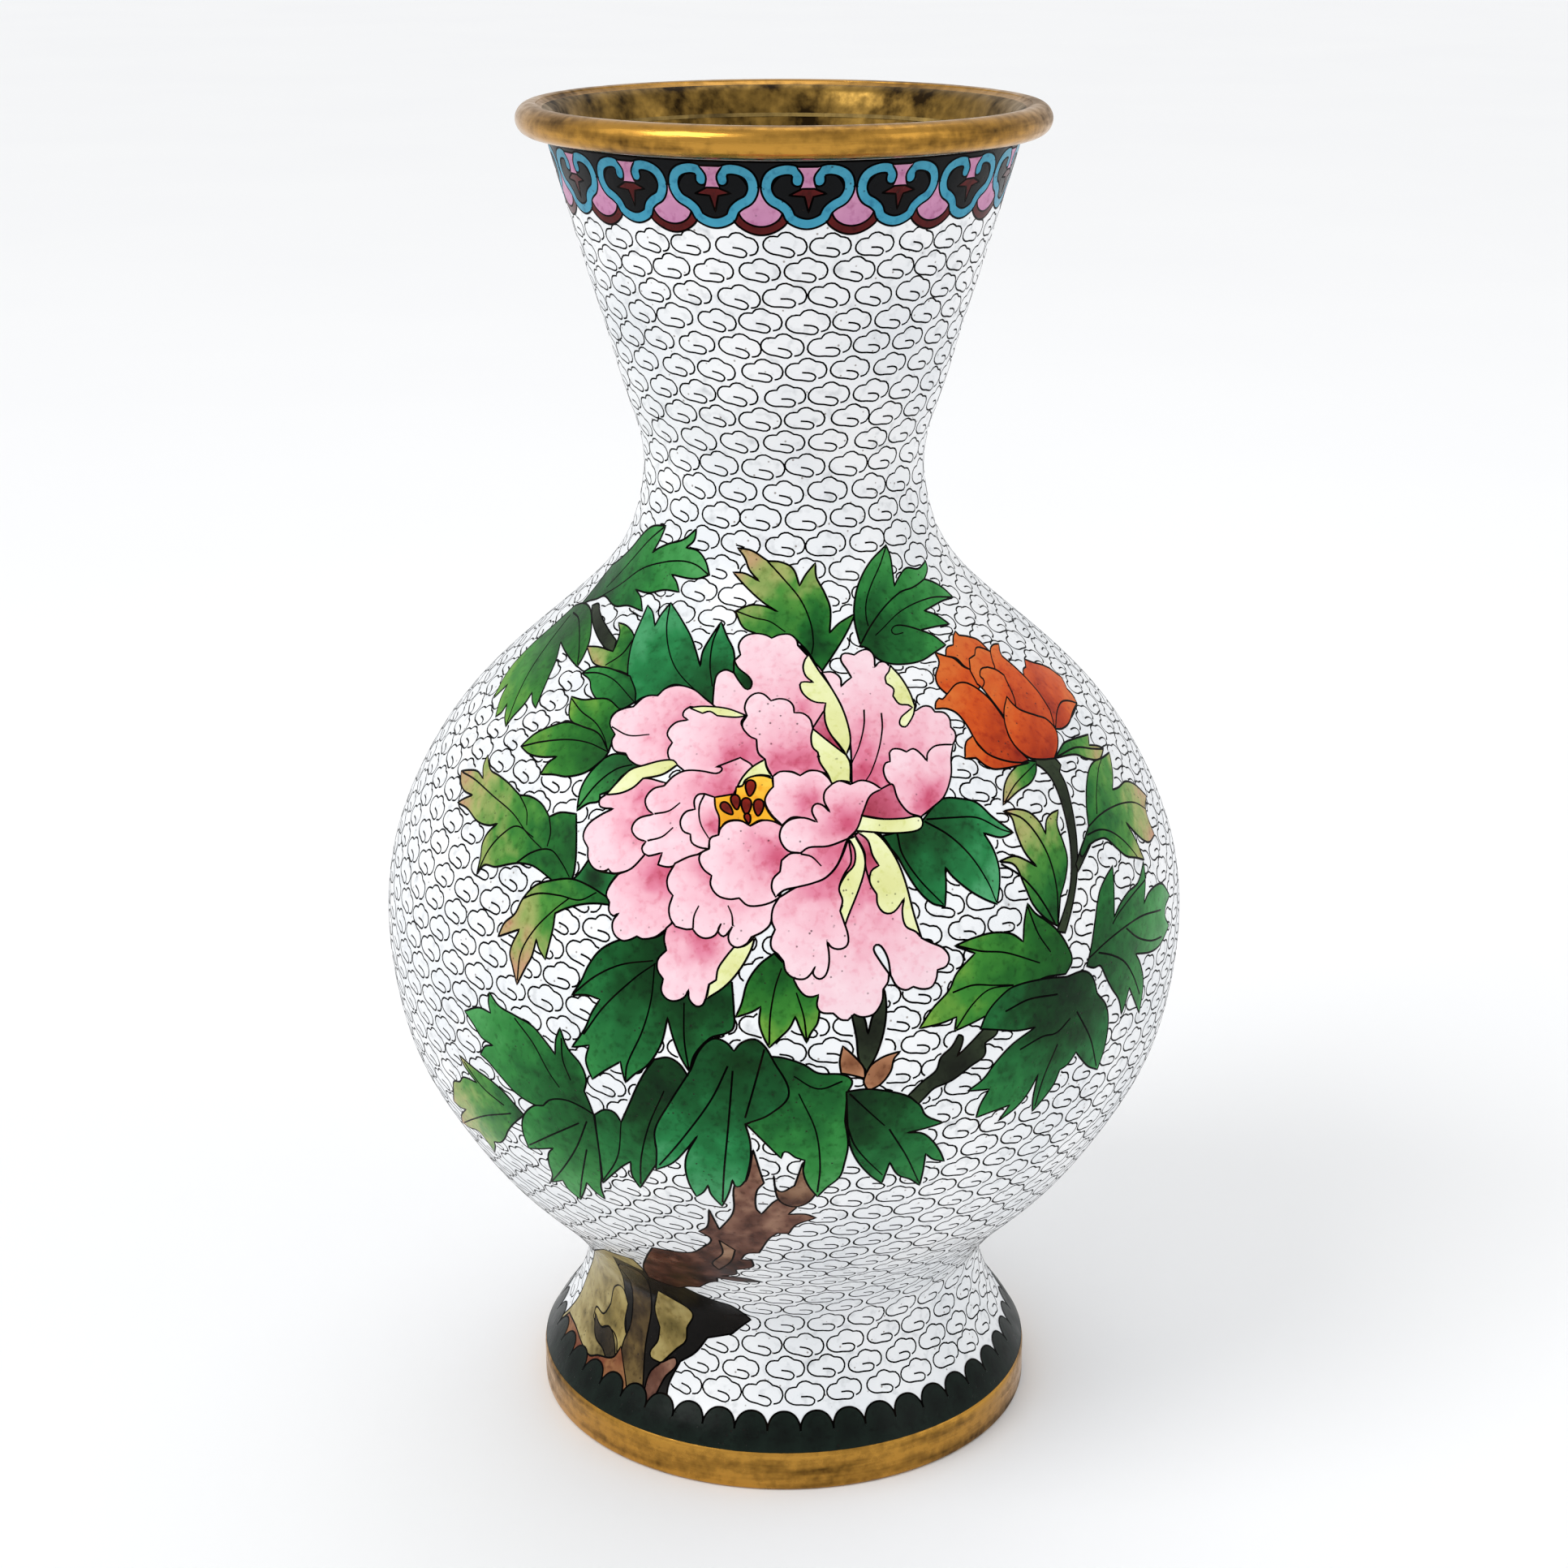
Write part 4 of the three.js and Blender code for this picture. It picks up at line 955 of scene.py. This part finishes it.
def cloud_wires(pictures):
    """The small cloud scrolls that fill the white ground, cut off where they meet a picture."""
    pattern = curve(CLOUD, CLOUD_STEP, closed=False)
    sections = {name: Wires(0.0) for name in SHELLS}
    for row, up in enumerate(np.arange(CLOUD_FIRST, CLOUD_LAST, CLOUD_ROW), start=1):
        radius = float(np.interp(up, UPS, RADII))
        height = float(np.interp(up, UPS, HEIGHTS))
        count = round(2 * math.pi * radius / CLOUD_PITCH)
        section = SHELLS[int(np.searchsorted((ANKLE, GIRTH, WAIST), height))]
        for k in range(count):
            angle = 2 * math.pi * (k + 0.5 * (row % 2) + dice.uniform(-CLOUD_DRIFT, CLOUD_DRIFT)) / count
            tilt = dice.uniform(-CLOUD_TILT, CLOUD_TILT)
            size = dice.uniform(*CLOUD_SIZES)
            spin = np.array([[math.cos(tilt), -math.sin(tilt)], [math.sin(tilt), math.cos(tilt)]])
            line = pattern @ spin.T * size + (0.0, up + dice.uniform(-CLOUD_SHIFT, CLOUD_SHIFT))
            radii = np.interp(line[:, 1], UPS, RADII)
            free = np.ones(len(line), bool)
            for middle, cells in pictures:
                off = (angle - middle + math.pi) % (2 * math.pi) - math.pi
                free &= topmost(np.stack([off * radii + line[:, 0], line[:, 1]], -1), cells) < 0
            for start, end in runs(free):
                if end - start > SHORT_CLOUD:
                    sections[section].add(line[start:end], CLOUD_WIRE, angle)
    return sections


# ---------------------------------------------------------------- materials

class Nodes:
    """A material's node tree, with short ways to add nodes and join them."""

    def __init__(self, name, roughness, metallic=0.0, gloss=0.5):
        self.material = bpy.data.materials.new(name)
        self.material.use_nodes = True
        self.tree = self.material.node_tree
        self.shader = self.tree.nodes["Principled BSDF"]
        self.shader.inputs["Roughness"].default_value = roughness
        self.shader.inputs["Metallic"].default_value = metallic
        self.shader.inputs["Specular IOR Level"].default_value = gloss
        self.where = self.tree.nodes.new("ShaderNodeTexCoord").outputs["Object"]

    def join(self, value, socket):
        """Links a node's output to a socket, or sets the socket to a constant."""
        if isinstance(value, bpy.types.NodeSocket):
            self.tree.links.new(value, socket)
        else:
            socket.default_value = value

    def noise(self, scale, detail=3.0, stretch=None):
        """Smooth noise, 0 to 1, stretched along an axis where stretch is given."""
        where = self.where
        if stretch is not None:
            mapping = self.tree.nodes.new("ShaderNodeMapping")
            mapping.inputs["Scale"].default_value = stretch
            self.join(where, mapping.inputs["Vector"])
            where = mapping.outputs["Vector"]
        node = self.tree.nodes.new("ShaderNodeTexNoise")
        node.inputs["Scale"].default_value = scale
        node.inputs["Detail"].default_value = detail
        self.join(where, node.inputs["Vector"])
        return node.outputs["Fac"]

    def pits(self, scale, size):
        """1 in small round pits, 0 elsewhere."""
        node = self.tree.nodes.new("ShaderNodeTexVoronoi")
        node.inputs["Scale"].default_value = scale
        self.join(self.where, node.inputs["Vector"])
        return self.ramp(node.outputs["Distance"], size, size * 0.6)

    def ramp(self, value, low, high):
        """value stretched so that low becomes 0 and high becomes 1."""
        node = self.tree.nodes.new("ShaderNodeMapRange")
        node.inputs["From Min"].default_value = low
        node.inputs["From Max"].default_value = high
        self.join(value, node.inputs["Value"])
        return node.outputs["Result"]

    def math(self, operation, a, b):
        node = self.tree.nodes.new("ShaderNodeMath")
        node.operation = operation
        self.join(a, node.inputs[0])
        self.join(b, node.inputs[1])
        return node.outputs[0]

    def mix(self, factor, a, b, blend="MIX"):
        node = self.tree.nodes.new("ShaderNodeMix")
        node.data_type = "RGBA"
        node.blend_type = blend
        self.join(factor, node.inputs["Factor"])
        self.join(a, node.inputs[6])
        self.join(b, node.inputs[7])
        return node.outputs[2]

    def tint(self):
        node = self.tree.nodes.new("ShaderNodeAttribute")
        node.attribute_name = "tint"
        return node.outputs["Color"]

    def bump(self, height, distance, strength=0.5):
        node = self.tree.nodes.new("ShaderNodeBump")
        node.inputs["Distance"].default_value = distance
        node.inputs["Strength"].default_value = strength
        self.join(height, node.inputs["Height"])
        self.join(node.outputs["Normal"], self.shader.inputs["Normal"])

    def colour(self, value):
        self.join(value, self.shader.inputs["Base Color"])

    def roughness(self, value):
        self.join(value, self.shader.inputs["Roughness"])


def rgba(code):
    """A linear colour with alpha, as node sockets take it."""
    return (*linear(code), 1.0)


def coloured_enamel():
    """Fired and polished enamel: the cell's tint, mottled, with pits left by gas."""
    m = Nodes("coloured_enamel", roughness=0.2, gloss=0.1)
    cloudy = m.ramp(m.noise(330.0, 4.0), 0.3, 0.7)
    colour = m.mix(m.math("MULTIPLY", cloudy, 0.2), m.tint(), rgba("FFFFFF"), "SOFT_LIGHT")
    dark = m.ramp(m.noise(700.0, 3.0), 0.52, 0.72)
    colour = m.mix(m.math("MULTIPLY", dark, 0.5), colour, rgba("202020"), "SOFT_LIGHT")
    pits = m.math("MULTIPLY", m.pits(560.0, 0.15), m.ramp(m.noise(95.0), 0.48, 0.6))
    colour = m.mix(m.math("MULTIPLY", pits, 0.75), colour, rgba("1C1210"))
    m.colour(colour)
    m.roughness(m.ramp(m.noise(60.0), 0.0, 1.7))
    m.bump(m.math("SUBTRACT", m.noise(240.0, 2.0), pits), 0.0002)
    return m.material


def white_enamel():
    """Cool white ground enamel with faint grey clouds and a scatter of brown pits."""
    m = Nodes("white_enamel", roughness=0.18, gloss=0.35)
    colour = m.mix(m.ramp(m.noise(45.0, 4.0), 0.35, 0.7), rgba("F5F6F7"), rgba("E6E9EC"))
    colour = m.mix(m.ramp(m.noise(380.0, 4.0), 0.56, 0.8), colour, rgba("C9CCCF"))
    pits = m.pits(380.0, 0.11)
    colour = m.mix(m.math("MULTIPLY", pits, 0.7), colour, rgba("6A5848"))
    m.colour(colour)
    m.roughness(m.ramp(m.noise(50.0), 0.0, 2.0))
    m.bump(m.math("SUBTRACT", m.noise(200.0, 2.0), pits), 0.0002)
    return m.material


def metal(name, bright, dark, roughness, streaks, low, high):
    """Worn metal: bright where it is rubbed, dark in the brushed streaks and spots."""
    m = Nodes(name, roughness=roughness, metallic=1.0)
    worn = m.noise(90.0, 5.0, streaks)
    spots = m.noise(420.0, 3.0)
    tarnish = m.ramp(m.math("ADD", m.math("MULTIPLY", worn, 0.7), m.math("MULTIPLY", spots, 0.3)), low, high)
    m.colour(m.mix(tarnish, rgba(bright), rgba(dark)))
    m.roughness(m.ramp(tarnish, -roughness * 2.0, 2.2))
    m.bump(m.noise(600.0, 3.0, streaks), 0.0001)
    return m.material


# ---------------------------------------------------------------- the vase

def lip_centre():
    """Radius and height of the middle of the bead round the mouth."""
    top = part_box("lip_ring")[1]
    return top[0] / MM - BEAD_RADIUS, top[2] / MM - BEAD_RADIUS


def mouth_line():
    """The flare from the top of the bead down to the inside of the neck."""
    radius, height = lip_centre()
    inside = radius_at(NECK_TOP) - SKIN - COPPER
    return curve(f"{radius - 1.2},{height + 2.9} {inside + 2.2},{height + 1.2} "
                 f"{inside + 0.8},{height - 1.4} {inside},{NECK_TOP}", 0.5, closed=False)


def lip_section():
    """The gilt bead round the mouth and the metal behind the flare."""
    radius, height = lip_centre()
    section = [(radius + BEAD_RADIUS * math.cos(t), height + BEAD_RADIUS * math.sin(t))
               for t in np.radians(np.linspace(-BEAD_TURN, BEAD_TURN, 33))]
    inside = radius_at(NECK_TOP) - SKIN
    return section + mouth_line().tolist() + [(inside + ENAMEL, NECK_TOP)]


def mouth_section():
    """The dull lining of the flare, a thin skin over the lip's own metal."""
    line = mouth_line()[LINING_START:]
    return (line - (LINING, 0.0)).tolist() + (line + (LINING_DEPTH, 0.0))[::-1].tolist()


def foot_section():
    """The gilt foot ring: a plain band with eased edges, open underneath."""
    low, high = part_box("foot_ring")
    outer = high[0] / MM
    inner = outer - FOOT_WALL
    top = FOOT_TOP - FOOT_GAP
    bottom = low[2] / MM
    section = [(inner + FOOT_EASE, bottom), (outer - FOOT_EASE, bottom)]
    section += [(outer - FOOT_EASE * (1 - math.sin(t)), bottom + FOOT_EASE * (1 - math.cos(t)))
                for t in np.radians(np.linspace(15, 90, 7))]
    middle = (top + bottom) / 2
    section += [(outer, z) for z in np.linspace(bottom + 2 * FOOT_EASE, middle, 3)]
    section += [(outer, z) for z in np.linspace(middle + 1, top - 1.2, 3)]
    section += [(outer - 0.15, top - 0.5), (outer - 0.5, top), (inner, top), (inner, bottom + FOOT_EASE)]
    return section


def build_walls(white, inner):
    """The four copper sections, each with its layer of white ground."""
    seams = (FOOT_TOP, ANKLE, GIRTH, WAIST, NECK_TOP)
    for shell, bottom, top in zip(SHELLS, seams, seams[1:]):
        part = shell.split("_")[0]
        wall = layer(f"{part}_wall", bottom, top, SKIN, COPPER)
        settle(wall, inner[part], "sheet_copper", shell)
        ground = layer(f"{part}_ground", bottom, top, 0.0, ENAMEL)
        settle(ground, white, "white_enamel", f"{part}_enamel")


def front_picture():
    """Every cell of the front, back to front: a later cell lies over an earlier one."""
    return (left_leaves() + trunk_and_rock() + lower_leaves() + right_leaves() + top_leaves() + bud()
            + peony() + stamens() + curled_leaf_tip())


def build_cells(front, back, glaze):
    """Every coloured cell, as one piece for each kind of thing shown."""
    collar_half, border_half = COLLAR_PITCH / 2, BORDER_PITCH / 2
    meshes = cell_pieces(front, CELL_SPACING)
    meshes.update(cell_pieces(back, CELL_SPACING, turn=math.pi))
    meshes.update(cell_pieces(collar_unit(), COLLAR_SPACING, turn=COLLAR_TURN, half=collar_half,
                              round_radius=COLLAR_RADIUS, copies=COLLAR_HEADS))
    meshes.update(cell_pieces(border_unit(), BORDER_SPACING, BORDER_INLAY, half=border_half,
                              round_radius=BORDER_RADIUS, copies=BORDER_SCALLOPS))

    slots = {"leaves": "leaf_enamel", "bud": "bud_enamel", "peony": "peony_enamel",
             "stems": "branch_enamel", "branch": "branch_enamel", "rock": "rock_enamel",
             "collar": "collar_enamel", "foot": "border_enamel"}
    leaf_nodes = [name for name in nodes if name.startswith("leaf_enamel")]
    leftward = {name: sum(corner[0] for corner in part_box(name)) < 0 for name in leaf_nodes}
    stands_for = {"peony_petals": ["peony_enamel"], "bud_petals": ["bud_enamel"],
                  "branch": ["branch_enamel"], "rock": ["rock_enamel"],
                  "leaves_left": [name for name in leaf_nodes if leftward[name]],
                  "leaves_right": [name for name in leaf_nodes if not leftward[name]],
                  "collar_field": ["collar_enamel"], "foot_border": ["foot_border_enamel"]}
    for name, piece in meshes.items():
        kind = name.removeprefix("back_").split("_")[0]
        settle(piece, glaze, slots[kind], *stands_for.get(name, []))


def build_wires(front, back, metal_of_wire):
    """The wires of the pictures, the collar, the border and the clouds."""
    picture, collar, border = Wires(INLAY), Wires(INLAY), Wires(BORDER_INLAY)
    wire_cells(picture, front)
    wire_cells(picture, back, math.pi)
    wire_cells(collar, collar_unit(), COLLAR_TURN, COLLAR_PITCH / 2)
    wire_cells(border, border_unit(), half=BORDER_PITCH / 2)
    slot = "cloison_wire"
    settle(picture.mesh("picture_wires"), metal_of_wire, slot)
    settle(collar.mesh("collar_wires", COLLAR_RADIUS, COLLAR_HEADS), metal_of_wire, slot, "collar_wire")
    settle(border.mesh("border_wires", BORDER_RADIUS, BORDER_SCALLOPS), metal_of_wire, slot,
           "border_wire")
    for shell, clouds in cloud_wires([(0.0, front), (math.pi, back)]).items():
        part = shell.split("_")[0]
        settle(clouds.mesh(f"{part}_cloud_wires"), metal_of_wire, slot)


def build_vase():
    """Every piece of the vase. Brazing, solder and base plate stay as the CAD has them."""
    brushed = (0.3, 0.3, 3.4)
    even = (1.0, 1.0, 1.0)
    glaze = coloured_enamel()
    white = white_enamel()
    gilt = metal("gilt_brass", "BE8C3C", "33220E", 0.27, brushed, 0.43, 0.7)
    dull = metal("neck_brass", "9C7A3A", "2A1E0E", 0.42, (1.0, 1.0, 0.6), 0.36, 0.62)
    copper = metal("sheet_copper", "8A6A4A", "3A2C20", 0.5, even, 0.35, 0.7)
    brazing = metal("brazing", "A88C50", "4A3E2A", 0.5, even, 0.35, 0.7)
    wire = metal("cloison_wire", "18110C", "040303", 0.5, even, 0.25, 0.5)

    build_walls(white, {"foot": copper, "belly": copper, "shoulder": copper, "neck": dull})
    settle(turned("lip", lip_section()), gilt, "gilt_brass", "lip_ring")
    settle(turned("mouth", mouth_section()), dull, "gilt_brass", "lip_ring")
    settle(turned("foot_band", foot_section()), gilt, "gilt_brass", "foot_ring")

    front = front_picture()
    back = moved(right_leaves()[1:] + bud(), BACK_ALONG, "back_")
    build_cells(front, back, glaze)
    build_wires(front, back, wire)
    for name in ("waist_braze", "girth_braze", "ankle_braze", "lip_solder", "foot_solder", "base_solder"):
        paint(nodes[name], brazing)
    paint(nodes["base_plate"], gilt)


def paint(node, material):
    """Puts a material on a CAD node that stays as it is."""
    node.data.materials.clear()
    node.data.materials.append(material)


# ---------------------------------------------------------------- the studio

def lay_floor():
    """A wide, pale, matt floor."""
    bpy.ops.mesh.primitive_plane_add(size=30.0)
    floor = bpy.context.object
    floor.name = "floor"
    m = Nodes("floor", roughness=0.7)
    m.colour(m.mix(m.noise(3.0), rgba("F8F8F8"), rgba("F4F4F5")))
    floor.data.materials.append(m.material)


def light_room():
    """A bright even room, one broad key light and three soft boxes."""
    world = bpy.data.worlds.new("studio")
    world.use_nodes = True
    sky = world.node_tree.nodes["Background"]
    sky.inputs["Color"].default_value = (0.98, 0.99, 1.0, 1.0)
    sky.inputs["Strength"].default_value = 0.82
    bpy.context.scene.world = world
    bpy.context.scene.view_settings.view_transform = "Standard"

    aim = Vector((0.0, 0.0, 0.15))
    for name, kind, spot, size, power in (("key", "SUN", (-1.5, -1.1, 2.2), math.radians(30), 0.85),
                                          ("left_box", "AREA", (-1.3, -0.5, 1.1), 1.0, 2.0),
                                          ("right_box", "AREA", (1.3, -0.6, 0.9), 1.0, 2.0),
                                          ("top_box", "AREA", (0.2, 0.5, 1.6), 0.8, 2.0)):
        light = bpy.data.lights.new(name, kind)
        light.energy = power
        if kind == "SUN":
            light.angle = size
        else:
            light.size = size
        lamp = bpy.data.objects.new(name, light)
        lamp.location = spot
        lamp.rotation_euler = (aim - lamp.location).to_track_quat("-Z", "Y").to_euler()
        bpy.context.scene.collection.objects.link(lamp)


def place_camera():
    """The photo's viewpoint: in front, a little higher than the mouth, and looking down."""
    downward = 18.77
    camera = bpy.data.cameras.new("camera")
    camera.sensor_width = 36.0
    camera.lens = 64.64
    eye = bpy.data.objects.new("camera", camera)
    eye.location = (0.0, -0.6164, 0.3602)
    eye.rotation_euler = (math.radians(90 - downward), 0.0, 0.0)
    bpy.context.scene.collection.objects.link(eye)
    bpy.context.scene.camera = eye


build_vase()
lay_floor()
light_room()
place_camera()
